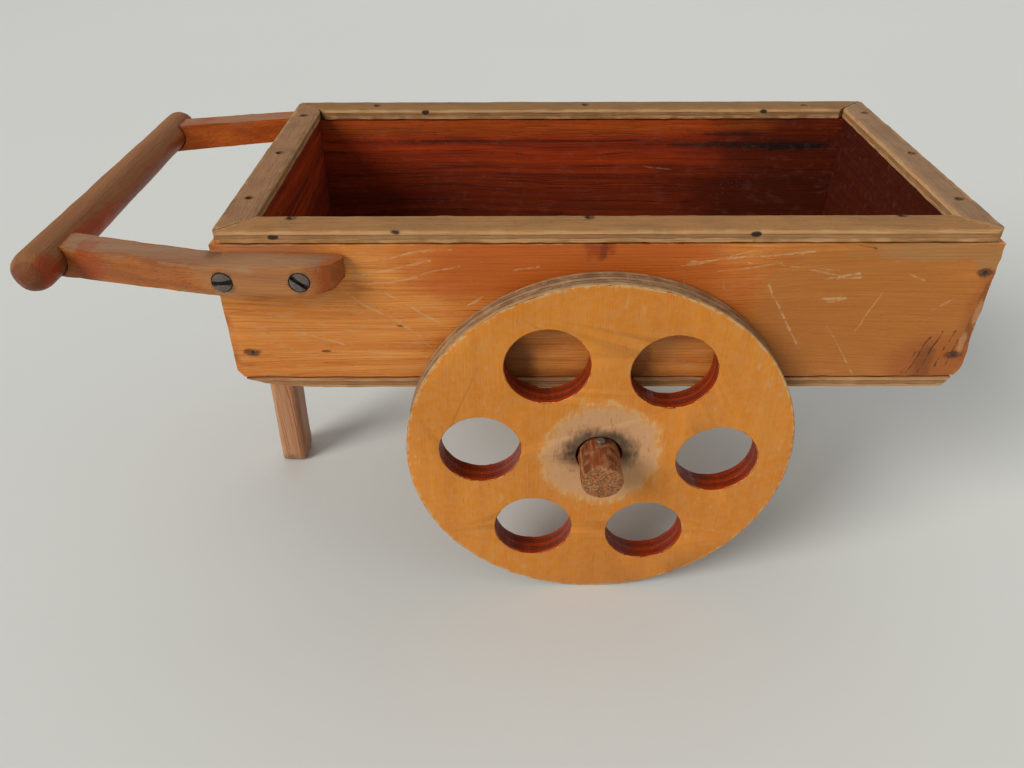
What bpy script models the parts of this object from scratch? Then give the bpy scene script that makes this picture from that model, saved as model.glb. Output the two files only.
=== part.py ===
"""A toy handcart of wood: an open box on two disc wheels, with two shafts, a handle bar and one leg.

X runs along the cart with the handle at -X, Y runs across it and Z up from the floor.
The origin is on the floor, halfway along the cart's whole length and on the middle plane of the box.
All sizes are in metres.
"""

import math

import bmesh
import bpy
from mathutils import Vector

# Clearances
FIT = 0.0003  # glue line between pieces that touch
RUN = 0.0007  # running clearance round the axle, on the radius

# Box of boards on a plywood bottom, with a mitred plywood rim on top
BOX_LENGTH = 0.2195
BOX_WIDTH = 0.118
WALL_THICK = 0.0105
WALL_HEIGHT = 0.0450
BOTTOM_THICK = 0.0037
CORNER_R = 0.0055  # lower corners of the box, worn round
EDGE_R = 0.0006  # rubbed edges of the boards
RIM_WIDTH = 0.0110
RIM_THICK = 0.0036
RIM_CORNER_R = 0.0035

# Wheels, axle and the pins that keep the wheels on
WHEEL_R = 0.060
WHEEL_THICK = 0.0080
WHEEL_GAP = 0.0013  # between a wheel and the side of the box
HOLE_COUNT = 6
HOLE_R = 0.0126
HOLE_CIRCLE_R = 0.0370
WHEEL_TURN = math.radians(-3.1)  # how the wheels happen to stand
AXLE_R = 0.0067
AXLE_DROP = 0.0192  # axle below the underside of the box
AXLE_STICK_OUT = 0.0130
AXLE_FORWARD = 0.0007  # axle in front of the middle of the box
AXLE_CHAMFER = 0.0008
PIN_R = 0.0009
PIN_HEAD_R = 0.00145
PIN_HEAD_THICK = 0.0008
PIN_TIP = 0.0012  # pin below the axle
PIN_GAP = 0.0005  # between the pin's head and the wheel

# Blocks under the box that hold the axle
BLOCK_LENGTH = 0.0280
BLOCK_WIDTH = 0.0120
BLOCK_BELOW_AXLE = 0.0110
BLOCK_INSET = 0.0040

# Shafts and handle bar
SHAFT_THICK = 0.0092
SHAFT_HEIGHT = 0.0088
SHAFT_END_HEIGHT = 0.0098  # at the bar
SHAFT_BELOW_RIM_TOP = 0.0060
SHAFT_LAP = 0.0370  # along the side of the box
SHAFT_CHAMFER = 0.0009
NOSE_LENGTH = 0.0100
NOSE_LIFT = 0.0032
SHAFT_SLOPE = math.tan(math.radians(14.7))  # how the shafts swing in towards the bar
BEND_START = 0.0090  # before the end of the box
BEND_LENGTH = 0.0140
BAR_R = 0.0061  # at the near end
BAR_FAR_R = 0.0056
BAR_REACH = 0.0475  # from the end of the box to the bar's axis
BAR_ABOVE_SHAFTS = 0.0008
BAR_OVERHANG = 0.0100  # past the far shaft
BAR_NEAR_OVERHANG = 0.0132
BAR_DOME = 0.0042

# Leg on the handle end of the box
LEG_THICK = 0.0104
LEG_WIDTH = 0.0140
LEG_LAP = 0.0360  # up the end of the box
LEG_OFFSET = 0.0060  # off the middle plane
LEG_SPLAY = 0.0026  # how far the foot stands out from the top
LEG_EDGE_R = 0.0015

# Number of faces round each kind of curve
RIM_SIDES = 96
HOLE_SIDES = 32
AXLE_SIDES = 32
BAR_SIDES = 24
PIN_SIDES = 12
CORNER_STEPS = 5
BEND_STEPS = 8
NOSE_STEPS = 6
DOME_STEPS = 3

# Places that follow from the sizes
BOX_X = (BAR_REACH + BAR_R) / 2
AXLE_X = BOX_X + AXLE_FORWARD
AXLE_Z = WHEEL_R
BOX_Z = WHEEL_R + AXLE_DROP
RIM_TOP = BOX_Z + BOTTOM_THICK + WALL_HEIGHT + RIM_THICK
HANDLE_END = BOX_X - BOX_LENGTH / 2
BAR_X = HANDLE_END - BAR_REACH
SIDE_Y = BOX_WIDTH / 2
WHEEL_IN = SIDE_Y + WHEEL_GAP
WHEEL_OUT = WHEEL_IN + WHEEL_THICK
AXLE_END = WHEEL_OUT + AXLE_STICK_OUT
SHAFT_Z = RIM_TOP - SHAFT_BELOW_RIM_TOP - SHAFT_HEIGHT / 2
SHAFT_Y = SIDE_Y + FIT + SHAFT_THICK
SHAFT_INSET = SHAFT_SLOPE * (BAR_REACH + BEND_START - BEND_LENGTH / 2)
BAR_Z = SHAFT_Z + BAR_ABOVE_SHAFTS
BAR_FAR_END = SHAFT_Y - SHAFT_INSET + BAR_OVERHANG
BAR_NEAR_END = BAR_FAR_END + BAR_NEAR_OVERHANG - BAR_OVERHANG

NEAR_AND_FAR = (("near", -1), ("far", 1))
HANDLE_AND_FRONT = (("handle", -1), ("front", 1))


def clear_scene():
    for obj in list(bpy.data.objects):
        bpy.data.objects.remove(obj, do_unlink=True)


def finish(name, colour, roughness, metallic=0.0):
    """A plain finish with one colour."""
    material = bpy.data.materials.new(name)
    material.use_nodes = True
    shader = material.node_tree.nodes["Principled BSDF"]
    shader.inputs["Base Color"].default_value = (*colour, 1.0)
    shader.inputs["Roughness"].default_value = roughness
    shader.inputs["Metallic"].default_value = metallic
    return material


def add_piece(name, shape, material, location=(0.0, 0.0, 0.0)):
    """Makes the named object from a bmesh that is built round the location."""
    bmesh.ops.recalc_face_normals(shape, faces=shape.faces)
    mesh = bpy.data.meshes.new(name)
    shape.to_mesh(mesh)
    shape.free()
    mesh.shade_smooth()
    mesh.set_sharp_from_angle(angle=math.radians(35))
    piece = bpy.data.objects.new(name, mesh)
    piece.location = location
    piece.data.materials.append(material)
    bpy.context.scene.collection.objects.link(piece)
    return piece


def rub_edges(piece, width):
    """Rounds the piece's sharp edges a little, as handling does."""
    bevel = piece.modifiers.new("rubbed edges", "BEVEL")
    bevel.width = width
    bevel.segments = 2
    bevel.limit_method = "ANGLE"
    bevel.angle_limit = math.radians(40)


def cut_with(piece, cutter):
    """Takes the cutter's shape out of the piece."""
    cutter.hide_render = True
    cutter.display_type = "WIRE"
    cut = piece.modifiers.new("cut", "BOOLEAN")
    cut.operation = "DIFFERENCE"
    cut.solver = "EXACT"
    cut.object = cutter


def circle(radius, sides, centre=(0.0, 0.0)):
    steps = [2 * math.pi * i / sides for i in range(sides)]
    return [(centre[0] + radius * math.cos(a), centre[1] + radius * math.sin(a)) for a in steps]


def plate(outlines, low, high, plane="XZ"):
    """A flat piece: outlines (the outer one, then its holes) filled in a plane and extruded from low to high."""

    def at(u, v, w):
        return Vector((u, w, v)) if plane == "XZ" else Vector((u, v, w))

    shape = bmesh.new()
    edges = []
    for outline in outlines:
        corners = [shape.verts.new(at(u, v, low)) for u, v in outline]
        edges += [shape.edges.new((a, b)) for a, b in zip(corners, corners[1:] + corners[:1])]
    if len(outlines) == 1:
        faces = [shape.faces.new(shape.verts)]
    else:
        filled = bmesh.ops.triangle_fill(shape, edges=edges, use_beauty=True)
        faces = [item for item in filled["geom"] if isinstance(item, bmesh.types.BMFace)]
    raised = bmesh.ops.extrude_face_region(shape, geom=faces)
    corners = [item for item in raised["geom"] if isinstance(item, bmesh.types.BMVert)]
    bmesh.ops.translate(shape, verts=corners, vec=at(0.0, 0.0, high - low))
    return shape


def turned(profile, sides, axis):
    """A round piece: rings of (radius, place along the axis), from one end to the other, closed with flat ends."""
    shape = bmesh.new()
    rings = []
    for radius, along in profile:
        corners = circle(radius, sides)
        points = [(u, along, v) if axis == "Y" else (u, v, along) for u, v in corners]
        rings.append([shape.verts.new(point) for point in points])
    join_rings(shape, rings)
    return shape


def join_rings(shape, rings):
    """Skins a row of rings that have as many corners each, and closes both ends."""
    for ring, after in zip(rings, rings[1:]):
        for i in range(len(ring)):
            k = (i + 1) % len(ring)
            shape.faces.new((ring[i], ring[k], after[k], after[i]))
    shape.faces.new(rings[0])
    shape.faces.new(rings[-1])


def end_inset(height):
    """How far the box's end is worn back at a height above its underside."""
    if height >= CORNER_R:
        return 0.0
    return CORNER_R - math.sqrt(CORNER_R**2 - (CORNER_R - height) ** 2)


def end_line(low, high):
    """(distance out from the middle, height over the underside) up one end of the box, between two heights."""
    turns = [math.pi / 2 * i / CORNER_STEPS for i in range(CORNER_STEPS + 1)]
    heights = [CORNER_R * (1 - math.cos(turn)) for turn in turns]
    heights = [low] + [h for h in heights if low < h < high] + [high]
    return [(BOX_LENGTH / 2 - end_inset(h), h) for h in heights]


def board_outline(low, high):
    """The whole length of the box seen from the side, between two heights over its underside."""
    right = end_line(low, high)
    left = [(-x, z) for x, z in reversed(right)]
    return [(BOX_X + x, BOX_Z + z) for x, z in right + left]


def make_box(board, plywood):
    wall_low = BOTTOM_THICK + FIT
    wall_high = BOTTOM_THICK + WALL_HEIGHT - FIT

    bottom = plate([board_outline(0.0, BOTTOM_THICK)], -SIDE_Y, SIDE_Y)
    rub_edges(add_piece("bottom_board", bottom, plywood), EDGE_R)

    for place, way in NEAR_AND_FAR:
        faces = sorted((way * SIDE_Y, way * (SIDE_Y - WALL_THICK)))
        side = plate([board_outline(wall_low, wall_high)], *faces)
        rub_edges(add_piece(f"side_board_{place}", side, board), EDGE_R)

    inside = BOX_LENGTH / 2 - WALL_THICK
    between = SIDE_Y - WALL_THICK - FIT
    for place, way in HANDLE_AND_FRONT:
        outline = [(inside, wall_low)] + end_line(wall_low, wall_high) + [(inside, wall_high)]
        outline = [(BOX_X + way * x, BOX_Z + z) for x, z in outline]
        end = plate([outline], -between, between)
        rub_edges(add_piece(f"end_board_{place}", end, board), EDGE_R)


def rim_outline(length, width):
    """A mitred strip seen from above, lying along X with its outer edge at +Y."""
    mitre_gap = FIT / math.sqrt(2)
    reach, out = length / 2, width / 2
    middle = (reach - RIM_CORNER_R, out - RIM_CORNER_R)
    turns = [math.pi / 4 * (1 + i / CORNER_STEPS) for i in range(CORNER_STEPS + 1)]
    corner = [(middle[0] + RIM_CORNER_R * math.cos(a), middle[1] + RIM_CORNER_R * math.sin(a)) for a in turns]
    half = [(reach - RIM_WIDTH, out - RIM_WIDTH)] + corner
    half = [(x - mitre_gap, y) for x, y in half]
    return half + [(-x, y) for x, y in reversed(half)]


def make_rim(plywood):
    low, high = RIM_TOP - RIM_THICK, RIM_TOP
    for place, way in NEAR_AND_FAR:
        outline = rim_outline(BOX_LENGTH, BOX_WIDTH)
        strip = plate([[(BOX_X + x, way * y) for x, y in outline]], low, high, "XY")
        rub_edges(add_piece(f"rim_strip_{place}", strip, plywood), EDGE_R)
    for place, way in HANDLE_AND_FRONT:
        outline = rim_outline(BOX_WIDTH, BOX_LENGTH)
        strip = plate([[(BOX_X + way * y, x) for x, y in outline]], low, high, "XY")
        rub_edges(add_piece(f"rim_strip_{place}", strip, plywood), EDGE_R)


def make_wheels(plywood):
    """Discs with a ring of round holes. Each turns about its own origin."""
    steps = [WHEEL_TURN + 2 * math.pi * i / HOLE_COUNT for i in range(HOLE_COUNT)]
    middles = [(HOLE_CIRCLE_R * math.cos(a), HOLE_CIRCLE_R * math.sin(a)) for a in steps]
    outlines = [circle(WHEEL_R, RIM_SIDES), circle(AXLE_R + RUN, AXLE_SIDES)]
    outlines += [circle(HOLE_R, HOLE_SIDES, middle) for middle in middles]
    for place, way in NEAR_AND_FAR:
        disc = plate(outlines, -WHEEL_THICK / 2, WHEEL_THICK / 2)
        middle = way * (WHEEL_IN + WHEEL_OUT) / 2
        add_piece(f"wheel_{place}", disc, plywood, (AXLE_X, middle, AXLE_Z))


def make_axle(dowel, wood, steel):
    """The dowel, the two blocks that carry it and the two pins outside the wheels."""
    narrow = AXLE_R - AXLE_CHAMFER
    wide = AXLE_END - AXLE_CHAMFER
    profile = [(narrow, -AXLE_END), (AXLE_R, -wide), (AXLE_R, wide), (narrow, AXLE_END)]
    axle = add_piece("axle", turned(profile, AXLE_SIDES, "Y"), dowel, (AXLE_X, 0.0, AXLE_Z))

    head_low = AXLE_R + FIT
    head_high = head_low + PIN_HEAD_THICK
    tip = -AXLE_R - PIN_TIP
    pin_profile = [(PIN_R, tip), (PIN_R, head_low), (PIN_HEAD_R, head_low), (PIN_HEAD_R, head_high)]
    hole_profile = [(PIN_R + FIT, 2 * tip), (PIN_R + FIT, 2 * head_high)]
    for place, way in NEAR_AND_FAR:
        pin_y = way * (WHEEL_OUT + PIN_GAP + PIN_HEAD_R)
        at_pin = (AXLE_X, pin_y, AXLE_Z)
        cut_with(axle, add_piece(f"pin_hole_{place}", turned(hole_profile, PIN_SIDES, "Z"), dowel, at_pin))
        add_piece(f"axle_pin_{place}", turned(pin_profile, PIN_SIDES, "Z"), steel, at_pin)

    left, right = AXLE_X - BLOCK_LENGTH / 2, AXLE_X + BLOCK_LENGTH / 2
    low, high = AXLE_Z - BLOCK_BELOW_AXLE, BOX_Z - FIT
    outline = [(left, low), (right, low), (right, high), (left, high)]
    bore = circle(AXLE_R + FIT, AXLE_SIDES, (AXLE_X, AXLE_Z))
    for place, way in NEAR_AND_FAR:
        faces = sorted((way * (SIDE_Y - BLOCK_INSET), way * (SIDE_Y - BLOCK_INSET - BLOCK_WIDTH)))
        add_piece(f"axle_block_{place}", plate([outline, bore], *faces), wood)


def swing(x):
    """How far a shaft has swung in at x: straight along the box, an even bend, then straight to the bar."""
    past = HANDLE_END + BEND_START - x
    if past <= 0:
        return 0.0
    if past < BEND_LENGTH:
        return SHAFT_SLOPE * past**2 / (2 * BEND_LENGTH)
    return SHAFT_SLOPE * (past - BEND_LENGTH / 2)


def shaft_ring(along, way):
    """Eight corners round the shaft at a distance from the tip of its nose, on the way to the bar."""
    x = HANDLE_END + SHAFT_LAP - along
    nose = max(0.0, 1 - along / NOSE_LENGTH)
    on_box = x > HANDLE_END - FIT
    full = SHAFT_Y - swing(x)
    inner = SIDE_Y + FIT if on_box else full - SHAFT_THICK
    outer = inner + (full - inner) * max(math.sqrt(1 - nose**2), 0.15)
    height = SHAFT_HEIGHT + (SHAFT_END_HEIGHT - SHAFT_HEIGHT) * swing(x) / SHAFT_INSET
    low = SHAFT_Z - height / 2 + NOSE_LIFT * nose**2
    high = SHAFT_Z + height / 2 - NOSE_LIFT / 3 * nose**2
    cut = min(SHAFT_CHAMFER, (outer - inner) / 3)
    section = [(inner, low + cut), (inner + cut, low), (outer - cut, low), (outer, low + cut)]
    section += [(outer, high - cut), (outer - cut, high), (inner + cut, high), (inner, high - cut)]
    return [(x, way * y, z) for y, z in section]


def make_shafts(wood):
    """Two shafts on the outside of the box, which swing in and end against the bar."""
    whole = SHAFT_LAP + BAR_REACH
    stations = [NOSE_LENGTH * (1 - math.cos(math.pi / 2 * i / NOSE_STEPS)) for i in range(NOSE_STEPS + 1)]
    bend_from = SHAFT_LAP - BEND_START
    bend = [bend_from + BEND_LENGTH * i / BEND_STEPS for i in range(BEND_STEPS + 1)]
    shoulder = [SHAFT_LAP - FIT, SHAFT_LAP + FIT]
    stations += sorted(bend + shoulder) + [whole]
    for place, way in NEAR_AND_FAR:
        shape = bmesh.new()
        rings = [[shape.verts.new(point) for point in shaft_ring(along, way)] for along in stations]
        join_rings(shape, rings)
        shaft = add_piece(f"shaft_{place}", shape, wood)
        room = turned([(radius + FIT, along) for radius, along in bar_profile()], BAR_SIDES, "Y")
        cut_with(shaft, add_piece(f"bar_room_{place}", room, wood, (BAR_X, 0.0, BAR_Z)))


def bar_profile():
    """(radius, y) along the bar, a little thinner at the far end, with domed ends."""
    turns = [math.pi / 2 * i / (DOME_STEPS + 1) for i in range(DOME_STEPS + 1)]
    dome = [(math.cos(a), BAR_DOME * (1 - math.sin(a))) for a in turns]
    near = [(BAR_R * share, short - BAR_NEAR_END) for share, short in reversed(dome)]
    return near + [(BAR_FAR_R * share, BAR_FAR_END - short) for share, short in dome]


def make_bar(wood):
    add_piece("handle_bar", turned(bar_profile(), BAR_SIDES, "Y"), wood, (BAR_X, 0.0, BAR_Z))


def make_leg(wood):
    """The leg stands on the floor, fastened to the outside of the box's handle end and splayed a little."""
    top = HANDLE_END - FIT
    foot = top - LEG_SPLAY
    outline = [(foot - LEG_THICK, 0.0), (foot, 0.0)]
    outline += [(top, BOX_Z + LEG_LAP), (top - LEG_THICK, BOX_Z + LEG_LAP)]
    leg = plate([outline], LEG_OFFSET - LEG_WIDTH / 2, LEG_OFFSET + LEG_WIDTH / 2)
    rub_edges(add_piece("leg", leg, wood), LEG_EDGE_R)


def main():
    clear_scene()
    amber = finish("amber_varnish", (0.50, 0.23, 0.07), 0.42)
    bare = finish("bare_plywood", (0.46, 0.31, 0.18), 0.70)
    disc = finish("wheel_plywood", (0.55, 0.30, 0.10), 0.45)
    brown = finish("handled_wood", (0.36, 0.19, 0.09), 0.55)
    red = finish("red_brown_dowel", (0.25, 0.09, 0.04), 0.50)
    pink = finish("leg_wood", (0.42, 0.22, 0.13), 0.60)
    steel = finish("pin_steel", (0.30, 0.29, 0.28), 0.45, 1.0)
    make_box(amber, bare)
    make_rim(bare)
    make_wheels(disc)
    make_axle(red, brown, steel)
    make_shafts(brown)
    make_bar(brown)
    make_leg(pink)


main()
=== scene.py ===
# %% [markdown]
# # A worn toy handcart of wood
#
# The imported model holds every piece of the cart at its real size. This lesson gives the pieces their
# looks: worn edges, grain, varnish, plywood layers, nails and screws. Each one is modelled again with the
# operators that you would use by hand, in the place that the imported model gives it.

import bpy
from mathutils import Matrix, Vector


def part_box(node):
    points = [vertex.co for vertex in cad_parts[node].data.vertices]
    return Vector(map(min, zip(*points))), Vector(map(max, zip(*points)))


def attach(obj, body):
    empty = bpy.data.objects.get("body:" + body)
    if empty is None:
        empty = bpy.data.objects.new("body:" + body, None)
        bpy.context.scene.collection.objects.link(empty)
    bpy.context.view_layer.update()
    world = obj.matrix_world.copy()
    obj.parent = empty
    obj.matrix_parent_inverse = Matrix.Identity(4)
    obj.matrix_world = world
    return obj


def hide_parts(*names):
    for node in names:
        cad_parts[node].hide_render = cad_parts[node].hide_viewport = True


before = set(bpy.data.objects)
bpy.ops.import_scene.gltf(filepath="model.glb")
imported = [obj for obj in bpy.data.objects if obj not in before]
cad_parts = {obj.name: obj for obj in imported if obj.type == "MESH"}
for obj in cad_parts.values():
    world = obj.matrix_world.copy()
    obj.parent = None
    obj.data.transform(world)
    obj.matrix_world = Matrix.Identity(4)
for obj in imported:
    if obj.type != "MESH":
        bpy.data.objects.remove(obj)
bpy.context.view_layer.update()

# %% Blender, and what else the lesson needs
import math

import bmesh
import bpy
import numpy as np
from mathutils import Matrix, Vector

MM = 0.001

# %% [markdown]
# ## Places on the cart
#
# Nothing is measured twice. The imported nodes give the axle, the box and its rim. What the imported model
# doesn't hold, such as a nail, is placed in millimetres from there.

# %% The axle, the box and the rim
wheel_low, wheel_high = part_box("wheel_near")
AXLE_X = (wheel_low[0] + wheel_high[0]) / 2
AXLE_Z = (wheel_low[2] + wheel_high[2]) / 2
WHEEL_R = (wheel_high[0] - wheel_low[0]) / 2
rim_low, rim_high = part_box("rim_strip_near")
RIM_TOP = rim_high[2]
HANDLE_END, FRONT_END = rim_low[0], rim_high[0]
SIDE_Y = -rim_low[1]
print(f"axle at x {AXLE_X:.4f}, z {AXLE_Z:.4f}; box from x {HANDLE_END:.4f} to {FRONT_END:.4f}")

# %% [markdown]
# ## The camera
#
# The photo was taken from close by, a little above the cart and from its side. The camera's place and
# angles were worked out from the round wheel and the straight edges of the box, so it needs no shift. A
# camera looks along its own -Z with +Y up, and its matrix is built from those three directions.

# %% Camera at the photo's angle
CAMERA_PLACE = (0.00116, -0.26680, 0.22743)
CAMERA_PITCH = math.radians(35.234)
CAMERA_YAW = math.radians(-0.1898)
CAMERA_ROLL = math.radians(0.2086)
SENSOR_WIDTH = 36.0
PHOTO_WIDTH_PX = 1024
FOCAL_PX = 829.955

ahead = Vector((
    math.sin(CAMERA_YAW) * math.cos(CAMERA_PITCH),
    math.cos(CAMERA_YAW) * math.cos(CAMERA_PITCH),
    -math.sin(CAMERA_PITCH),
))
level_right = Vector((math.cos(CAMERA_YAW), -math.sin(CAMERA_YAW), 0.0))
level_down = ahead.cross(level_right)
right = math.cos(CAMERA_ROLL) * level_right + math.sin(CAMERA_ROLL) * level_down
down = -math.sin(CAMERA_ROLL) * level_right + math.cos(CAMERA_ROLL) * level_down

camera_data = bpy.data.cameras.new("photo_camera")
camera_data.lens = FOCAL_PX / PHOTO_WIDTH_PX * SENSOR_WIDTH
camera_data.sensor_width = SENSOR_WIDTH
camera_data.clip_start = 0.01
camera = bpy.data.objects.new("photo_camera", camera_data)
bpy.context.scene.collection.objects.link(camera)
camera.matrix_world = Matrix.Translation(CAMERA_PLACE) @ Matrix((right, -down, -ahead)).transposed().to_4x4()
bpy.context.scene.camera = camera
print(f"lens {camera_data.lens:.2f} mm")

# %% [markdown]
# ## Light
#
# Soft daylight comes from the left and front, with weaker light from the right and from behind, and a
# pale sky all round. A sun lamp with a wide angle acts like a large window far away: its shadows are
# soft, and it lights the whole floor evenly, which an area lamp close by would not.

# %% Soft lights
# name: where it comes from, strength, width in degrees, colour
LIGHTS = {
    "window_left": ((-0.95, -0.72, 0.74), 2.35, 30.0, (1.0, 0.985, 0.96)),
    "window_right": ((1.0, -0.3, 0.9), 0.30, 60.0, (1.0, 0.99, 0.97)),
    "sky_behind": ((0.2, 1.0, 1.2), 0.50, 60.0, (0.97, 0.985, 1.0)),
}
SKY_COLOUR = (0.97, 0.98, 1.0)
SKY_STRENGTH = 0.33
for name, (from_there, strength, softness, colour) in LIGHTS.items():
    light_data = bpy.data.lights.new(name, "SUN")
    light_data.angle = math.radians(softness)
    light_data.energy = strength
    light_data.color = colour
    light = bpy.data.objects.new(name, light_data)
    light.location = from_there
    light.rotation_euler = Vector(from_there).to_track_quat("Z", "Y").to_euler()
    bpy.context.scene.collection.objects.link(light)

world = bpy.data.worlds.new("pale_sky")
bpy.context.scene.world = world
world.use_nodes = True
world.node_tree.nodes["Background"].inputs["Color"].default_value = (*SKY_COLOUR, 1.0)
world.node_tree.nodes["Background"].inputs["Strength"].default_value = SKY_STRENGTH
bpy.context.scene.view_settings.view_transform = "Standard"
print("lights:", ", ".join(LIGHTS))

# %% [markdown]
# ## A short way to write materials
#
# A procedural material is a chain of nodes. Written out link by link it can't be read, so these few
# helpers add a node and link its inputs in one call: what is a socket gets linked, and what is a number
# gets set.

# %% Adding nodes
class Recipe:
    """Adds linked nodes to one node tree."""

    def __init__(self, tree):
        self.tree = tree

    def add(self, kind, inputs, **settings):
        node = self.tree.nodes.new("ShaderNode" + kind)
        for setting, value in settings.items():
            setattr(node, setting, value)
        for socket, value in inputs.items():
            if isinstance(value, bpy.types.NodeSocket):
                self.tree.links.new(value, node.inputs[socket])
            else:
                node.inputs[socket].default_value = value
        return node

    def sum(self, operation, *values):
        """One step of arithmetic."""
        return self.add("Math", dict(enumerate(values)), operation=operation).outputs[0]

    def times(self, *values):
        return self.sum("MULTIPLY", *values)

    def plus(self, *values):
        return self.sum("ADD", *values)

    def minus(self, *values):
        return self.sum("SUBTRACT", *values)

    def larger(self, *values):
        return self.sum("MAXIMUM", *values)

    def vector(self, operation, first, second=None):
        """One step of arithmetic with vectors."""
        inputs = {0: first}
        if second is not None:
            inputs["Scale" if operation == "SCALE" else 1] = second
        result = "Value" if operation in ("LENGTH", "DOT_PRODUCT") else "Vector"
        return self.add("VectorMath", inputs, operation=operation).outputs[result]

    def part(self, vector, axis):
        """One of a vector's three numbers."""
        return self.add("SeparateXYZ", {0: vector}).outputs[axis]

    def fade(self, value, start, end):
        """0 at the start and 1 at the end, smooth between them."""
        inputs = {"Value": value, "From Min": start, "From Max": end}
        return self.add("MapRange", inputs, interpolation_type="SMOOTHSTEP").outputs["Result"]

    def mix(self, amount, first, second, strength=None):
        """The first colour, going over to the second as the amount, times its strength, goes from 0 to 1."""
        if strength is not None:
            amount = self.times(amount, strength)
        node = self.tree.nodes.new("ShaderNodeMix")
        node.data_type = "RGBA"
        for socket, value in zip((node.inputs[0], node.inputs[6], node.inputs[7]), (amount, first, second)):
            if isinstance(value, bpy.types.NodeSocket):
                self.tree.links.new(value, socket)
            else:
                socket.default_value = value if socket.type == "VALUE" else (*value, 1.0)
        return node.outputs[2]

    def noise(self, vector, scale, detail=2.0, shift=(0.0, 0.0, 0.0)):
        """Noise in steps to the metre, with one scale or with its own along each axis."""
        scale = scale if isinstance(scale, tuple) else (scale, scale, scale)
        placed = self.add("Mapping", {"Vector": vector, "Scale": scale, "Location": shift}).outputs[0]
        inputs = {"Vector": placed, "Scale": 1.0, "Detail": detail, "Roughness": 0.55}
        return self.add("TexNoise", inputs).outputs["Fac"]

    def place(self, group, **inputs):
        """One of the shared effects, with its own values."""
        node = self.tree.nodes.new("ShaderNodeGroup")
        node.node_tree = group
        for socket, value in inputs.items():
            socket = node.inputs[socket.replace("_", " ")]
            if isinstance(value, bpy.types.NodeSocket):
                self.tree.links.new(value, socket)
            else:
                socket.default_value = value
        return node.outputs


def shared_effect(name, inputs, outputs):
    """An empty node group with its sockets, and the recipe, the inputs and the outputs to fill it with."""
    group = bpy.data.node_groups.new(name, "ShaderNodeTree")
    for label, kind in inputs.items():
        group.interface.new_socket(label, in_out="INPUT", socket_type="NodeSocket" + kind)
    for label in outputs:
        group.interface.new_socket(label, in_out="OUTPUT", socket_type="NodeSocketFloat")
    entry = group.nodes.new("NodeGroupInput")
    leave = group.nodes.new("NodeGroupOutput")
    return group, Recipe(group), entry.outputs, leave.inputs


def send(recipe, socket, value):
    recipe.tree.links.new(value, socket)


print("node helpers ready")

# %% [markdown]
# ## Grain
#
# Wood is a bundle of fibres. Seen close, it has fine streaks, wider bands of early and late wood, thin
# dark late wood lines and short dark pores. All of them are noise that is stretched along the grain. The
# group takes its grain along X, and a Mapping node in front of it turns the pattern for boards that run
# another way.

# %% The grain group
grain_group, r, given, out = shared_effect(
    "wood grain", {"Vector": "Vector", "Coarseness": "Float"}, ["Bands", "Fibres", "Lines", "Pores"]
)
bow = r.noise(given["Vector"], (7, 30, 30), 1.0)
bow_offset = r.add("CombineXYZ", {"X": 0.0, "Y": r.times(bow, 0.010), "Z": r.times(bow, 0.014)})
bowed = r.vector("ADD", given["Vector"], bow_offset.outputs[0])
sized = r.vector("SCALE", bowed, given["Coarseness"])
send(r, out["Bands"], r.fade(r.noise(sized, (5, 300, 300), 5.0), 0.30, 0.70))
send(r, out["Fibres"], r.fade(r.noise(sized, (70, 2300, 2300), 3.0), 0.30, 0.70))
ridge = r.sum("ABSOLUTE", r.minus(r.noise(sized, (3.5, 520, 520), 1.0), 0.5))
send(r, out["Lines"], r.fade(ridge, 0.035, 0.0))
send(r, out["Pores"], r.fade(r.noise(sized, (330, 3100, 3100), 1.0), 0.66, 0.76))
print("grain group:", len(grain_group.nodes), "nodes")

# %% [markdown]
# ## Spots, scratches and plies
#
# A stain round a nail, a knot or a hole is a spot: a soft ball round a point, with a ragged edge, and a
# patch of painted shade is made the same way. A scratch is the same with a line in place of the point.
# Plywood shows its layers wherever it is cut across, so the plies group turns a height inside the sheet
# into light and dark layers with thin glue lines between them.

# %% The spot, scratch, scuff and ply groups
spot_group, r, given, out = shared_effect(
    "ragged spot",
    {"Vector": "Vector", "Centre": "Vector", "Squash": "Vector", "Radius": "Float", "Ragged": "Float"},
    ["Mask"],
)
away = r.vector("SUBTRACT", given["Vector"], given["Centre"])
away = r.vector("MULTIPLY", away, given["Squash"])
distance = r.vector("LENGTH", away)
reach = r.plus(distance, r.times(given["Ragged"], given["Radius"]))
send(r, out["Mask"], r.fade(r.sum("DIVIDE", reach, given["Radius"]), 1.55, 1.0))

scratch_group, r, given, out = shared_effect(
    "scratch",
    {
        "Vector": "Vector", "From": "Vector", "Along": "Vector",
        "Length": "Float", "Width": "Float", "Wobble": "Float",
    },
    ["Mask"],
)
away = r.vector("SUBTRACT", given["Vector"], given["From"])
along = r.vector("DOT_PRODUCT", away, given["Along"])
held = r.sum("MINIMUM", r.larger(along, 0.0), given["Length"])
on_line = r.vector("SCALE", given["Along"], held)
off = r.vector("SUBTRACT", away, on_line)
off = r.vector("LENGTH", off)
off = r.plus(off, r.times(r.minus(given["Wobble"], 0.5), 0.0007))
send(r, out["Mask"], r.fade(r.sum("DIVIDE", off, given["Width"]), 1.00, 0.20))

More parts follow.
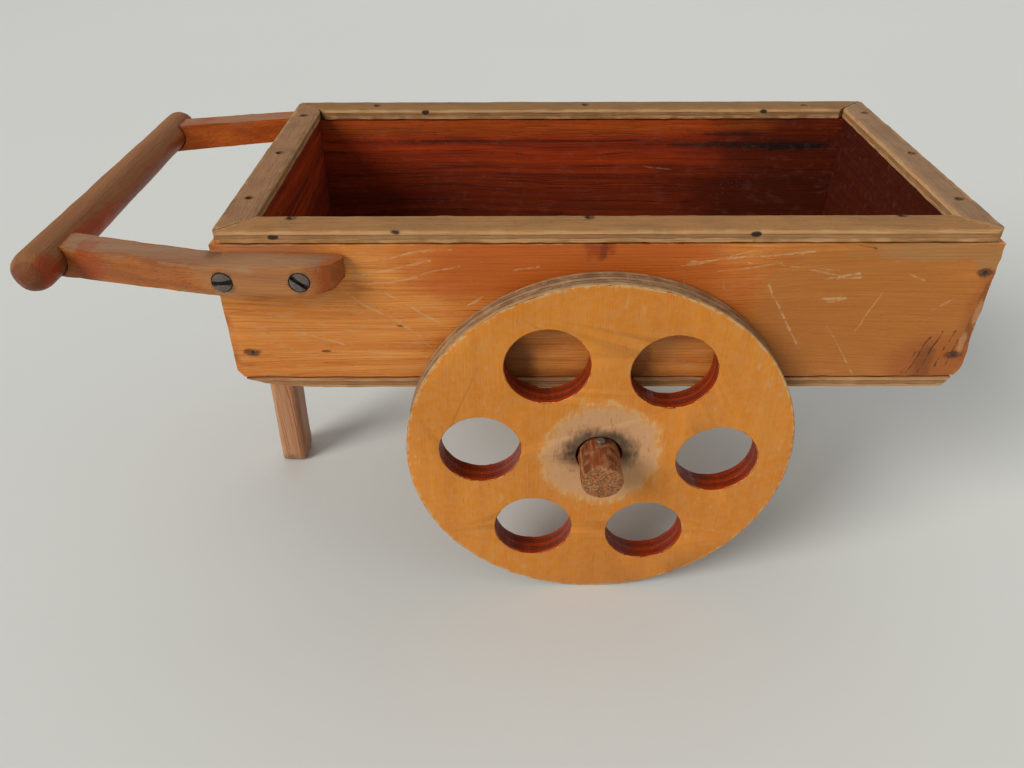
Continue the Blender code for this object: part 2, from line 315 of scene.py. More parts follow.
scuff_group, r, given, out = shared_effect(
    "fine scuffs", {"Vector": "Vector", "Amount": "Float"}, ["Mask"]
)
layers = []
for turn, shift in ((0.55, 0.0), (-0.9, 3.1), (1.35, 7.7)):
    turned = r.add("Mapping", {"Vector": given["Vector"], "Rotation": (turn * 0.4, turn, turn)}).outputs[0]
    hair = r.fade(r.noise(turned, (45, 2600, 2600), 1.0, (shift, shift, shift)), 0.70, 0.78)
    patch = r.fade(r.noise(turned, 70, 2.0, (shift, 5.0, 2.0)), 0.50, 0.66)
    layers.append(r.times(hair, patch))
most = r.larger(r.larger(layers[0], layers[1]), layers[2])
send(r, out["Mask"], r.times(most, given["Amount"]))

ply_group, r, given, out = shared_effect(
    "plies", {"Vector": "Vector", "Height": "Float", "Ply": "Float"}, ["Dark ply", "Glue"]
)
sway = r.times(r.minus(r.noise(given["Vector"], 60, 2.0), 0.5), 0.0007)
layer = r.sum("DIVIDE", r.plus(given["Height"], sway), given["Ply"])
pair = r.sum("FRACT", r.times(layer, 0.5))
up = r.fade(pair, 0.46, 0.54)
last = r.fade(pair, 0.97, 1.0)
send(r, out["Dark ply"], r.minus(up, last))
near_joint = r.sum("ABSOLUTE", r.minus(r.sum("FRACT", r.plus(layer, 0.5)), 0.5))
gap = r.fade(near_joint, 0.10, 0.03)
patchy = r.fade(r.noise(given["Vector"], 120, 3.0), 0.38, 0.56)
send(r, out["Glue"], r.times(gap, patchy))
print("shared groups:", len(bpy.data.node_groups))

# %% [markdown]
# ## Modelling by hand, in code
#
# By hand you would add a cube, scale it to the board, cut it into a grid, saw off its corners and round
# its edges. The helpers below call the same operators. Deselecting first matters, because an operator
# acts on all that is selected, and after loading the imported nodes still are.

# %% Adding, selecting and cutting
def alone(piece=None):
    """Deselects everything, and then selects the one piece that is worked on."""
    bpy.ops.object.select_all(action="DESELECT")
    if piece:
        piece.select_set(True)
        bpy.context.view_layer.objects.active = piece


def named(name):
    """Gives the new primitive its name, and puts its place and size into its mesh."""
    piece = bpy.context.object
    piece.name = piece.data.name = name
    bpy.ops.object.transform_apply(location=True, rotation=True, scale=True)
    return piece


def block(name, low, high):
    alone()
    low, high = Vector(low), Vector(high)
    bpy.ops.mesh.primitive_cube_add(size=1.0, location=(low + high) / 2)
    bpy.context.object.scale = high - low
    return named(name)


def rod(name, radius, low, high, middle, axis="Y", sides=48):
    """A cylinder between two places on an axis through the middle point."""
    alone()
    turn = {"X": (0.0, math.pi / 2, 0.0), "Y": (math.pi / 2, 0.0, 0.0), "Z": (0.0, 0.0, 0.0)}[axis]
    place = Vector(middle)
    place["XYZ".index(axis)] = (low + high) / 2
    bpy.ops.mesh.primitive_cylinder_add(
        vertices=sides, radius=radius, depth=high - low, location=place, rotation=turn
    )
    return named(name)


def pick(piece, kind, test):
    """In edit mode, selects only the verts, edges or faces that pass the test."""
    bpy.ops.mesh.select_mode(type={"verts": "VERT", "edges": "EDGE", "faces": "FACE"}[kind])
    bpy.ops.mesh.select_all(action="DESELECT")
    mesh = bmesh.from_edit_mesh(piece.data)
    for item in getattr(mesh, kind):
        if test(item):
            item.select_set(True)
    bmesh.update_edit_mesh(piece.data)


def runs_along(edge, axis):
    return abs((edge.verts[1].co - edge.verts[0].co).normalized()[axis]) > 0.99


def divide(piece, axis, spacing):
    """Cuts a block across an axis, at about that spacing."""
    bpy.ops.object.mode_set(mode="EDIT")
    pick(piece, "edges", lambda edge: runs_along(edge, axis))
    mesh = bmesh.from_edit_mesh(piece.data)
    length = max(edge.calc_length() for edge in mesh.edges if edge.select)
    bpy.ops.mesh.subdivide(number_cuts=max(1, round(length / spacing) - 1))
    bpy.ops.object.mode_set(mode="OBJECT")


def saw(piece, point, outwards):
    """Saws off what lies outside a plane, and closes the cut."""
    alone(piece)
    bpy.ops.object.mode_set(mode="EDIT")
    bpy.ops.mesh.select_all(action="SELECT")
    bpy.ops.mesh.bisect(
        plane_co=point, plane_no=Vector(outwards).normalized(), use_fill=True, clear_outer=True
    )
    bpy.ops.object.mode_set(mode="OBJECT")


def apply_modifier(piece, kind, **settings):
    """Adds a modifier with its settings and applies it."""
    alone(piece)
    modifier = piece.modifiers.new(kind.lower(), kind)
    for setting, value in settings.items():
        setattr(modifier, setting, value)
    bpy.ops.object.modifier_apply(modifier=modifier.name)


def join(pieces):
    alone(pieces[0])
    for piece in pieces:
        piece.select_set(True)
    bpy.ops.object.join()
    return pieces[0]


def cut_away(piece, tool, operation="DIFFERENCE"):
    """Cuts the tool's shape out of the piece, or keeps only what lies in it, and throws the tool away."""
    apply_modifier(piece, "BOOLEAN", operation=operation, solver="EXACT", object=tool)
    bpy.data.meshes.remove(tool.data)


def copy_of(piece, name):
    """A copy with its own mesh."""
    twin = piece.copy()
    twin.data = piece.data.copy()
    twin.name = twin.data.name = name
    bpy.context.scene.collection.objects.link(twin)
    return twin


def set_down(piece, place, turn=(0.0, 0.0, 0.0), size=1.0):
    """Turns, scales and moves a piece that was modelled at the origin, and puts that into its mesh."""
    alone(piece)
    piece.location = place
    piece.rotation_euler = turn
    piece.scale = (size, size, size)
    bpy.ops.object.transform_apply(location=True, rotation=True, scale=True)
    return piece


print("modelling helpers ready")

# %% [markdown]
# ## Wear
#
# Handling rounds an arris, which is a woodworker's word for a sharp edge, and knocks dents into it. A
# bevel rounds it first. Then a displacement with cloud noise pushes the surface in, but only where a
# vertex group says that it is an arris. The group comes from the faces round each vertex: on a flat they
# point the same way, and at an arris they don't. The same measure is kept as an attribute, so that
# materials know where wood is rubbed.

# %% Wearing the arrises
def face_table(mesh):
    """Each face corner's vertex and face normal."""
    corners = np.empty(len(mesh.loops), dtype=np.int64)
    mesh.loops.foreach_get("vertex_index", corners)
    sizes = np.empty(len(mesh.polygons), dtype=np.int64)
    mesh.polygons.foreach_get("loop_total", sizes)
    normals = np.empty(3 * len(mesh.polygons))
    mesh.polygons.foreach_get("normal", normals)
    return corners, np.repeat(normals.reshape(-1, 3), sizes, axis=0)


def arris_share(mesh):
    """0 on a flat and 1 on an arris, for each vertex."""
    corners, normals = face_table(mesh)
    total = np.zeros((len(mesh.vertices), 3))
    count = np.zeros(len(mesh.vertices))
    np.add.at(total, corners, normals)
    np.add.at(count, corners, 1)
    turned = 1.0 - np.linalg.norm(total, axis=1) / np.maximum(count, 1)
    return np.clip(turned / 0.02, 0.0, 1.0)


def vertex_normals(piece):
    normals = np.empty(3 * len(piece.data.vertices))
    piece.data.vertices.foreach_get("normal", normals)
    return normals.reshape(-1, 3)


def paint(piece, name, values):
    """Keeps a number for each vertex as an attribute that materials can read."""
    layer = piece.data.attributes.new(name, "FLOAT", "POINT")
    layer.data.foreach_set("value", np.asarray(values, dtype=np.float32))


def dent(piece, depth, size, contrast, group=""):
    """Pushes the surface in by up to the depth, in dents of about that size."""
    clouds = bpy.data.textures.new("dents", "CLOUDS")
    clouds.noise_scale = size
    clouds.noise_depth = 2
    clouds.contrast = contrast
    clouds.use_clamp = True
    apply_modifier(
        piece, "DISPLACE", texture=clouds, texture_coords="LOCAL", direction="NORMAL",
        strength=-depth, mid_level=0.0, vertex_group=group,
    )


def round_arrises(piece, width, segments=3):
    """Rounds a piece's sharp edges, and marks them for the dents and for the materials."""
    apply_modifier(
        piece, "BEVEL", width=width, segments=segments, limit_method="ANGLE",
        angle_limit=math.radians(35), use_clamp_overlap=True,
    )
    share = arris_share(piece.data)
    group = piece.vertex_groups.new(name="rounded")
    for index in np.flatnonzero(share > 0.02):
        group.add([int(index)], float(share[index]), "REPLACE")
    paint(piece, "arris", share)


def wear(piece, width, depth, size=0.006, contrast=2.0, segments=3):
    """Rounds a piece's sharp edges to a width and wears them unevenly."""
    round_arrises(piece, width, segments)
    dent(piece, depth, size, contrast, "rounded")


def dress(piece, nodes, materials, body="cart"):
    """Gives a finished piece its finish and its body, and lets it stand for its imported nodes."""
    alone(piece)
    bpy.ops.object.shade_smooth_by_angle(angle=math.radians(32))
    piece.vertex_groups.clear()
    piece.data.materials.clear()
    for material in materials:
        piece.data.materials.append(material)
    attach(piece, body)
    if nodes:
        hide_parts(*nodes)
    print(f"{piece.name}: {len(piece.data.polygons)} faces")


print("wear helpers ready")

# %% [markdown]
# ## Varnished boards
#
# The sides and ends of the box are softwood under an old amber varnish. Outside it is orange, with darker
# grain, pale scratches where the varnish is gone, and bare arrises. Inside, the same varnish has gone a
# deep red-brown, with painted shade that darkens it towards the bottom and most of all at the front end.
# One recipe makes all four boards: it is given the way the grain runs, the height across the thickness
# where outside turns to inside, the marks of that board, and how much painted shade lies on its inside.

# %% Starting and finishing a material
def start_finish(name):
    material = bpy.data.materials.new(name)
    material.use_nodes = True
    recipe = Recipe(material.node_tree)
    here = recipe.add("TexCoord", {}).outputs["Object"]
    return material, recipe, here


def end_finish(material, recipe, colour, roughness, relief, relief_depth, shine=0.22):
    """Sends a finished colour, roughness and relief to the material's own shader."""
    shader = material.node_tree.nodes["Principled BSDF"]
    shader.inputs["Specular IOR Level"].default_value = shine
    bump = recipe.add("Bump", {"Height": relief, "Distance": relief_depth, "Strength": 1.0})
    send(recipe, shader.inputs["Base Color"], colour)
    send(recipe, shader.inputs["Roughness"], roughness)
    send(recipe, shader.inputs["Normal"], bump.outputs["Normal"])
    return shader


def attribute(recipe, name):
    return recipe.add("Attribute", {}, attribute_name=name).outputs["Fac"]


ALONG_X = (0.0, 0.0, 0.0)
ALONG_Y = (0.0, 0.0, math.pi / 2)
ALONG_Z = (0.0, math.pi / 2, 0.0)


def grain_of(recipe, here, turn, coarseness=1.0, shift=(0.0, 0.0, 0.0)):
    """The grain group's outputs, with the pattern turned to run along one axis."""
    placed = recipe.add("Mapping", {"Vector": here, "Rotation": turn, "Location": shift}).outputs[0]
    return recipe.place(grain_group, Vector=placed, Coarseness=coarseness)


WIDE_SPOT_MM = 10.5


def darken_spots(recipe, here, colour, spots):
    """Lays stains and painted shade over a colour: (centre in mm, radius in mm, squash, colour, strength).

    A wide spot has a slow, cloudy edge and a small one a fine, ragged edge.
    """
    fine = recipe.noise(here, 420, 2.0)
    cloudy = recipe.noise(here, (38, 38, 70), 5.0)
    for centre, radius, squash, spot_colour, strength in spots:
        ragged = cloudy if radius > WIDE_SPOT_MM else fine
        middle = [value * MM for value in centre]
        mask = recipe.place(
            spot_group, Vector=here, Centre=middle, Squash=squash, Radius=radius * MM, Ragged=ragged
        )
        colour = recipe.mix(mask["Mask"], colour, spot_colour, strength)
    return colour


def scratches(recipe, here, lines):
    """One mask for all the scratches: (start in mm, end in mm, width in mm, strength)."""
    if not lines:
        return 0.0
    mask = 0.0
    slow = {"Vector": here, "Scale": 90.0, "Detail": 3.0, "Roughness": 0.6}
    drift = recipe.add("TexNoise", slow).outputs["Color"]
    drift = recipe.vector("SUBTRACT", drift, (0.5, 0.5, 0.5))
    drift = recipe.vector("SCALE", drift, 0.0024)
    bent = recipe.vector("ADD", here, drift)
    wobble = recipe.noise(here, 380, 2.0)
    for start, end, width, strength in lines:
        start, end = Vector(start) * MM, Vector(end) * MM
        line = recipe.place(
            scratch_group, Vector=bent, From=start, Along=(end - start).normalized(),
            Length=(end - start).length, Width=width * MM, Wobble=wobble,
        )
        mask = recipe.larger(mask, recipe.times(line["Mask"], strength))
    broken = recipe.fade(recipe.noise(here, 620, 4.0), 0.30, 0.54)
    return recipe.times(mask, broken)


print("finish helpers ready")

# %% The varnished board recipe
AMBER = (0.77, 0.310, 0.066)
DEEP_AMBER = (0.61, 0.190, 0.028)
LATE_WOOD = (0.33, 0.080, 0.012)
BARE_PALE = (0.60, 0.36, 0.17)
MAHOGANY = (0.50, 0.055, 0.006)
DARK_MAHOGANY = (0.26, 0.026, 0.004)
# The colour of painted shade inside the box and behind the wheel, where it is partly grime from the axle.
DARKEST_MAHOGANY = (0.045, 0.006, 0.002)
NEARLY_BLACK = (0.018, 0.009, 0.006)
NAIL_STAIN = (0.05, 0.018, 0.008)
RED_STAIN = (0.26, 0.035, 0.010)
RED_AMBER = (0.48, 0.100, 0.010)
# The colour of the wheel's painted shadow on the near board.
WHEEL_SHADOW_AMBER = (0.41, 0.146, 0.025)
TAN_BAND = (0.40, 0.195, 0.062)
RUBBED_AMBER = (0.42, 0.17, 0.085)
DUST = (0.36, 0.25, 0.22)


def varnished_board(name, turn, axis, outside, inside, spots, lines, checks, shift, painted_inside_shade):
    """axis goes through the board, and outside and inside are its faces' places on it.

    The last argument lays painted shade over the inside, from 0 to 1, and the inside is also painted darker
    towards its bottom, as shade.
    """
    material, r, here = start_finish(name)
    grain = grain_of(r, here, turn, 1.0, shift)
    across = r.part(here, axis)


    def is_outer(spot):
        place = spot[0][axis] * MM
        return abs(place - outside) < abs(place - inside)

    outer_spots = [spot for spot in spots if is_outer(spot)]
    inner_spots = [spot for spot in spots if spot not in outer_spots]
    within = r.fade(across, (outside + inside) / 2, (outside + 2 * inside) / 3)
    cloudy = r.fade(r.noise(here, (22, 22, 30), 2.0, shift), 0.35, 0.68)

    amber = r.mix(grain["Bands"], AMBER, DEEP_AMBER)
    amber = r.mix(cloudy, amber, DEEP_AMBER, 0.5)
    amber = r.mix(grain["Lines"], amber, LATE_WOOD, 0.42)
    flecks = r.fade(r.noise(here, (190, 600, 800), 3.0, shift), 0.54, 0.70)
    amber = r.mix(flecks, amber, BARE_PALE, 0.34)
    nicks = r.fade(r.noise(here, (480, 480, 1300), 3.0, shift), 0.64, 0.72)
    amber = r.mix(nicks, amber, BARE_PALE, 0.45)
    red = r.mix(grain["Bands"], MAHOGANY, DARK_MAHOGANY)
    red = r.mix(grain["Lines"], red, NEARLY_BLACK, 0.6)
    # Painted shade: the inside is painted darker towards its bottom, and all over by as much as the last
    # argument asks.
    painted_low_shade = r.fade(r.part(here, 2), 0.122, 0.096)
    red = r.mix(r.larger(r.times(painted_low_shade, 0.65), painted_inside_shade), red, DARKEST_MAHOGANY)
    amber = darken_spots(r, here, amber, outer_spots)
    red = darken_spots(r, here, red, inner_spots)
    dust = r.fade(r.noise(here, (240, 420, 420), 4.0, shift), 0.52, 0.74)
    red = r.mix(dust, red, DUST, 0.07)
    colour = r.mix(within, amber, red)
    streak = r.mix(within, LATE_WOOD, NEARLY_BLACK)
    colour = r.mix(grain["Fibres"], colour, streak, 0.30)
    colour = r.mix(grain["Pores"], colour, streak, 0.55)
    cracks = scratches(r, here, checks)
    colour = r.mix(cracks, colour, NAIL_STAIN)

    scuffs = r.place(scuff_group, Vector=here, Amount=0.8)["Mask"]
    marks = r.larger(scuffs, scratches(r, here, lines))
    marks = r.times(marks, r.minus(1.0, r.times(within, 0.6)))
    colour = r.mix(marks, colour, BARE_PALE, 0.75)
    worn = r.noise(here, 260, 3.0, shift)
    worn = r.fade(r.times(attribute(r, "arris"), worn), 0.40, 0.62)
    worn = r.times(worn, r.minus(1.0, within))
    colour = r.mix(worn, colour, BARE_PALE, 0.75)
    end = r.times(attribute(r, "end_grain"), r.fade(r.noise(here, 150, 3.0), 0.25, 0.60))
    end = r.times(end, r.minus(1.0, within))
    colour = r.mix(end, colour, LATE_WOOD, 0.8)

    roughness = r.plus(0.38, r.times(r.larger(worn, marks), 0.35))
    roughness = r.plus(roughness, r.times(cloudy, 0.10))
    relief = r.minus(r.times(grain["Fibres"], 0.35), r.times(grain["Lines"], 0.4))
    relief = r.minus(relief, r.times(r.larger(marks, cracks), 0.9))
    end_finish(material, r, colour, roughness, relief, 0.00012)
    return material


print("varnish recipe ready")

# %% [markdown]
# ## The box
#
# Two long boards hold two short ones between them. Each is a block in the place of its imported node, cut
# into a grid so that there is something to wear. The lower corners of the box were knocked off by years
# of play, the handle end in a long slope and the front end steeper, so the same saw cuts go through every
# board they meet.

# %% The box's marks and painted shade, in millimetres
OUTER_FACE_MM = 59.0
INNER_FACE_MM = 48.5


def stains_and_shade(y, rows):
    """Stains and painted shade on a side board's face at y: x, z, radius, squash along x and along z, colour
    and strength.
    """
    return [
        ((x, y, z), radius, (along, 1.0, up), colour, strength)
        for x, z, radius, along, up, colour, strength in rows
    ]


def strokes(y, rows):
    """Lines on a side board's face at y: x and z at both ends, width and strength."""
    return [((x, y, z), (to_x, y, to_z), width, strength) for x, z, to_x, to_z, width, strength in rows]


near_spots = stains_and_shade(-OUTER_FACE_MM, [
    # Painted shade behind the wheel: a ring round the axle, partly grime from the axle, and the board behind
    # the two upper holes.
    (AXLE_X / MM, AXLE_Z / MM + 6.0, 27.0, 0.85, 1.0, DARKEST_MAHOGANY, 0.85),
    (-2.0, 88.0, 11.0, 1.0, 0.6, DARKEST_MAHOGANY, 0.7),
    (36.0, 88.0, 9.0, 1.2, 0.6, DARKEST_MAHOGANY, 0.5),
    # Painted shadow of the wheel, on the board beside it to the right.
    (104.0, 104.0, 44.0, 0.8, 1.1, WHEEL_SHADOW_AMBER, 0.85),
    (20.0, 123.0, 27.0, 0.45, 1.5, RED_AMBER, 0.9),
    (24.8, 126.8, 4.4, 0.8, 0.9, RED_STAIN, 0.70),
    (26.0, 125.0, 2.0, 1.5, 0.6, NAIL_STAIN, 0.45),
    (-10.0, 116.0, 13.0, 0.6, 1.5, RED_AMBER, 0.35),
    (58.0, 112.0, 15.0, 0.8, 1.0, RED_AMBER, 0.6),
    (128.0, 86.0, 13.0, 0.7, 1.0, RED_STAIN, 0.40),
    (136.5, 104.0, 13.0, 2.2, 0.6, RED_STAIN, 0.30),
    (118.0, 125.2, 4.8, 0.19, 1.2, TAN_BAND, 0.95),
    (133.4, 122.6, 4.6, 0.9, 0.8, TAN_BAND, 0.9),
    (135.6, 110.0, 4.0, 2.6, 0.5, NAIL_STAIN, 0.40),
    (134.6, 99.0, 4.0, 2.6, 0.5, NAIL_STAIN, 0.45),
    (133.8, 94.5, 3.0, 2.4, 0.6, BARE_PALE, 0.50),
    (135.2, 105.0, 3.0, 2.6, 0.6, BARE_PALE, 0.45),
    (124.0, 88.0, 6.0, 1.6, 0.7, NAIL_STAIN, 0.45),
    (-68.0, 126.0, 3.6, 0.2, 1.5, RUBBED_AMBER, 0.7),
    (-16.0, 96.0, 2.0, 0.5, 2.0, LATE_WOOD, 0.8),
    (-12.0, 92.0, 9.0, 0.6, 1.0, LATE_WOOD, 0.30),
    (-55.0, 92.7, 1.0, 0.6, 1.6, NAIL_STAIN, 0.8),
    (-32.0, 101.5, 0.9, 0.6, 1.6, NAIL_STAIN, 0.7),
    (-76.9, 92.3, 2.0, 0.6, 1.2, NAIL_STAIN, 0.85),
    (132.9, 118.3, 2.2, 0.7, 1.2, NAIL_STAIN, 0.85),
    (132.4, 91.0, 2.2, 0.7, 1.2, NAIL_STAIN, 0.85),
])
near_lines = strokes(-OUTER_FACE_MM, [
    (-48.3, 113.4, -29.4, 100.1, 0.50, 0.85),
    (-35.6, 112.4, -18.2, 100.8, 0.46, 0.8),
    (-60.9, 99.1, -49.0, 94.9, 0.46, 0.75),
    (-29.4, 100.1, -22.0, 92.5, 0.34, 0.5),
    (-46.0, 121.6, -19.2, 126.4, 0.52, 0.75),
    (-44.0, 118.0, -22.0, 122.4, 0.62, 0.6),
    (-40.0, 115.5, -26.0, 117.5, 0.46, 0.6),
    (72.9, 114.7, 86.3, 92.9, 0.50, 0.9),
    (88.0, 108.0, 104.0, 84.0, 0.40, 0.55),
    (50.0, 122.0, 84.0, 125.4, 0.50, 0.8),
    (58.0, 119.0, 76.0, 121.6, 0.42, 0.7),
    (60.0, 119.4, 60.6, 114.0, 0.36, 0.7),
    (84.0, 119.5, 97.0, 117.0, 0.36, 0.6),
    (120.0, 105.0, 129.0, 112.0, 0.36, 0.6),
    (-12.0, 108.0, -8.0, 111.0, 0.60, 0.8),
    (106.0, 112.0, 101.0, 99.0, 0.34, 0.5),
    (88.5, 116.8, 98.0, 118.4, 0.50, 0.9),
    (92.0, 117.0, 98.5, 117.2, 0.55, 0.8),
    (88.8, 110.3, 95.8, 110.5, 0.80, 0.9),
    (90.0, 109.1, 94.5, 109.8, 0.50, 0.8),
    (93.5, 111.6, 96.0, 111.0, 0.40, 0.8),
    (48.0, 120.5, 70.0, 126.0, 0.36, 0.7),
    (64.0, 122.0, 92.0, 119.5, 0.30, 0.6),
    (112.0, 118.0, 117.0, 116.0, 0.40, 0.7),
    (-42.0, 123.2, -12.0, 126.6, 0.36, 0.7),
    (-30.0, 117.0, -14.0, 121.0, 0.40, 0.6),
    (1.0, 119.5, 8.0, 121.0, 0.40, 0.6),
    (-4.0, 104.0, 1.0, 106.0, 0.50, 0.6),
])
near_checks = strokes(-OUTER_FACE_MM, [
    (124.0, 97.0, 120.0, 84.5, 0.34, 0.9),
    (127.0, 99.0, 123.5, 84.5, 0.30, 0.8),
    (130.5, 99.5, 127.5, 85.0, 0.34, 0.9),
    (121.0, 92.0, 118.5, 84.5, 0.28, 0.7),
    (132.5, 97.0, 131.0, 87.5, 0.26, 0.7),
    (96.0, 127.2, 101.0, 125.9, 0.30, 0.8),
])
far_spots = stains_and_shade(INNER_FACE_MM, [
    # Painted shade: the inside of the far board goes dark towards the front end.
    (122.0, 104.0, 50.0, 0.75, 1.3, DARKEST_MAHOGANY, 0.80),
    (107.0, 117.2, 4.2, 0.22, 2.1, NEARLY_BLACK, 1.0),
    (84.0, 117.8, 4.2, 0.13, 3.4, NEARLY_BLACK, 0.7),
    (85.0, 121.9, 3.0, 0.24, 3.0, NEARLY_BLACK, 0.7),
    (10.0, 119.4, 4.0, 0.05, 5.5, NEARLY_BLACK, 0.55),
    (-10.0, 125.0, 20.0, 0.18, 4.0, RED_AMBER, 0.5),
]) + stains_and_shade(OUTER_FACE_MM, [
    (-40.0, 110.0, 9.0, 0.5, 1.6, RED_STAIN, 0.6),
    (70.0, 95.0, 12.0, 0.5, 1.6, RED_STAIN, 0.4),
    (-76.0, 92.0, 2.2, 0.8, 1.0, NAIL_STAIN, 0.8),
    (-76.0, 118.0, 2.2, 0.8, 1.0, NAIL_STAIN, 0.8),
    (132.5, 118.0, 2.4, 0.8, 1.0, NAIL_STAIN, 0.8),
    (132.5, 91.0, 2.4, 0.8, 1.0, NAIL_STAIN, 0.8),
])
far_lines = strokes(OUTER_FACE_MM, [
    (-30.0, 118.0, 10.0, 104.0, 0.34, 0.8),
    (92.0, 120.0, 118.0, 101.0, 0.32, 0.8),
    (-64.0, 100.0, -42.0, 92.0, 0.30, 0.7),
]) + strokes(INNER_FACE_MM, [
    (-20.0, 100.0, -12.0, 103.0, 0.4, 0.8),
    (52.0, 109.0, 66.0, 107.0, 0.3, 0.8),
])
handle_spots = [((HANDLE_END / MM, -14.0, 104.0), 12.0, (1.0, 0.6, 1.2), RED_STAIN, 0.5)]
front_spots = [((FRONT_END / MM, 12.0, 98.0), 12.0, (1.0, 0.5, 1.2), RED_STAIN, 0.5)]
front_lines = [((FRONT_END / MM, -20.0, 120.0), (FRONT_END / MM, 8.0, 92.0), 0.34, 0.8)]
print(len(near_spots), "marks and", len(near_lines), "scratches on the near side")

# %% The knocked-off corners
GRID = 0.0024
CORNER_CUTS = [
    ((-0.0826, 0.0, 0.0853), (-3.0, 0.0, -2.2)),
    ((-0.0804, 0.0, 0.0823), (-1.8, 0.0, -5.9)),
    ((-0.0745, 0.0, 0.0805), (-1.3, 0.0, -13.0)),
    ((0.1364, 0.0, 0.0857), (6.3, 0.0, -3.9)),
    ((0.1360, 0.0, 0.1278), (1.0, 0.0, 1.2)),
]


def board(node, axes):
    """A block in a node's place, cut into a grid, with the box's corners sawn off."""
    piece = block(node + "_wood", *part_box(node))
    for axis in axes:
        divide(piece, axis, GRID)
    for point, outwards in CORNER_CUTS:
        saw(piece, point, outwards)
    return piece


def chip_front_end(piece):
    """Knocks chips out of the front end's arrises, where the cart runs into things."""
    group = piece.vertex_groups.new(name="front")
    for vertex in piece.data.vertices:
        if vertex.co.x > FRONT_END - 0.0024:
            group.add([vertex.index], 1.0, "REPLACE")
    dent(piece, 0.0007, 0.0030, 2.8, "front")
    apply_modifier(piece, "SMOOTH", factor=0.5, iterations=3, vertex_group="front")


def paint_end_grain(piece, axis):
    """Marks the faces that the grain runs into."""
    paint(piece, "end_grain", np.abs(vertex_normals(piece)[:, axis]) > 0.75)


# The last number of each board is painted shade on its inside, from 0 to 1; the front end's inside is
# darkest.
BOARDS = {
    "side_board_near": (0, ALONG_X, 1, near_spots, near_lines, near_checks, (0.0, 0.0, 0.0), 0.5),
    "side_board_far": (0, ALONG_X, 1, far_spots, far_lines, [], (3.0, 1.0, 7.0), 0.0),
    "end_board_handle": (1, ALONG_Y, 0, handle_spots, [], [], (5.0, 2.0, 1.0), 0.1),
    "end_board_front": (1, ALONG_Y, 0, front_spots, front_lines, [], (9.0, 4.0, 2.0), 0.9),
}
INSIDE = Vector(((HANDLE_END + FRONT_END) / 2, 0.0, 0.0))
for node, (grain_axis, turn, thickness_axis, spots, lines, checks, shift, painted_inside_shade) in BOARDS.items():
    low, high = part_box(node)
    middle = INSIDE[thickness_axis]
    faces = sorted((low[thickness_axis], high[thickness_axis]), key=lambda at: abs(at - middle))
    piece = board(node, (0, 2) if grain_axis == 0 else (1, 2))
    wear(piece, 0.0009, 0.0006)
    dent(piece, 0.00015, 0.02, 1.0)
    if grain_axis == 0:
        chip_front_end(piece)
    paint_end_grain(piece, grain_axis)
    finish = varnished_board(
        node + "_varnish", turn, thickness_axis, faces[1], faces[0], spots, lines, checks, shift, painted_inside_shade
    )
    dress(piece, [node], [finish])

# %% [markdown]
# ## Bare plywood
#
# The rim and the bottom are thin plywood that never had much varnish, or lost it. Their faces are greyish
# tan with dirt in the grain, and their edges show three plies: the middle one has its fibres end-on and
# looks darker. Arrises that hands rub are paler and smoother than the rest.

# %% The bare plywood recipe
TAN_DIRT = (0.17, 0.085, 0.040)
PLY_LIGHT = (0.50, 0.265, 0.105)
PLY_DARK = (0.150, 0.058, 0.023)
RUBBED_TAN = (0.56, 0.33, 0.150)


def bare_plywood(name, turn, lower_face, sheet, tan, spots, shift, lining=0.0):
    """lower_face is the height of the sheet's underside, and sheet its thickness.

    lining is how much of the box's dark varnish lies on the upper face.
    """
    material, r, here = start_finish(name)
    grain = grain_of(r, here, turn, 1.2, shift)
    height = r.minus(r.part(here, 2), lower_face)
    plies = r.place(ply_group, Vector=here, Height=height, Ply=sheet / 3)
    dirt = r.fade(r.noise(here, (60, 110, 110), 4.0, shift), 0.44, 0.74)

    face = r.mix(grain["Bands"], tan, [0.8 * share for share in tan], 0.6)
    face = r.mix(dirt, face, TAN_DIRT, 0.40)
    face = r.mix(grain["Lines"], face, TAN_DIRT, 0.25)
    face = r.mix(grain["Fibres"], face, TAN_DIRT, 0.22)
    face = r.mix(grain["Pores"], face, PLY_DARK, 0.6)
    specks = r.fade(r.noise(here, 800, 3.0, shift), 0.60, 0.72)
    face = r.mix(specks, face, TAN_DIRT, 0.35)
    upper = r.fade(height, 0.45 * sheet, 0.75 * sheet)
    face = r.mix(upper, face, DARK_MAHOGANY, lining)
    edge = r.mix(plies["Dark ply"], PLY_LIGHT, PLY_DARK, 0.55)
    edge = r.mix(plies["Glue"], edge, PLY_DARK, 0.75)
    edge = r.mix(dirt, edge, TAN_DIRT, 0.25)
    colour = r.mix(attribute(r, "flat"), edge, face)
    worn = r.fade(r.noise(here, 120, 4.0, shift), 0.44, 0.62)
    worn = r.times(worn, attribute(r, "arris"))
    colour = r.mix(worn, colour, RUBBED_TAN, 0.45)
    colour = darken_spots(r, here, colour, spots)

    roughness = r.minus(0.72, r.times(worn, 0.15))
    relief = r.minus(r.times(grain["Fibres"], 0.5), r.times(plies["Dark ply"], 0.4))
    relief = r.minus(relief, r.times(r.larger(plies["Glue"], grain["Lines"]), 0.5))
    end_finish(material, r, colour, roughness, relief, 0.00018)
    return material


def paint_flat(piece, axis):
    """Marks a sheet's two faces, as against its edges."""
    paint(piece, "flat", np.clip((np.abs(vertex_normals(piece)[:, axis]) - 0.6) / 0.35, 0.0, 1.0))


print("plywood recipe ready")

# %% [markdown]
# ## The rim
#
# Four strips lie on the boards, mitred at the corners. The maker rounded the corners after fastening
# them, so every strip is cut to one rounded outline before its ends are sawn at 45 degrees. The corner by
# the camera at the front end is worn rounder than the others. Nails hold the strips down, and each sits
# in a small crater.

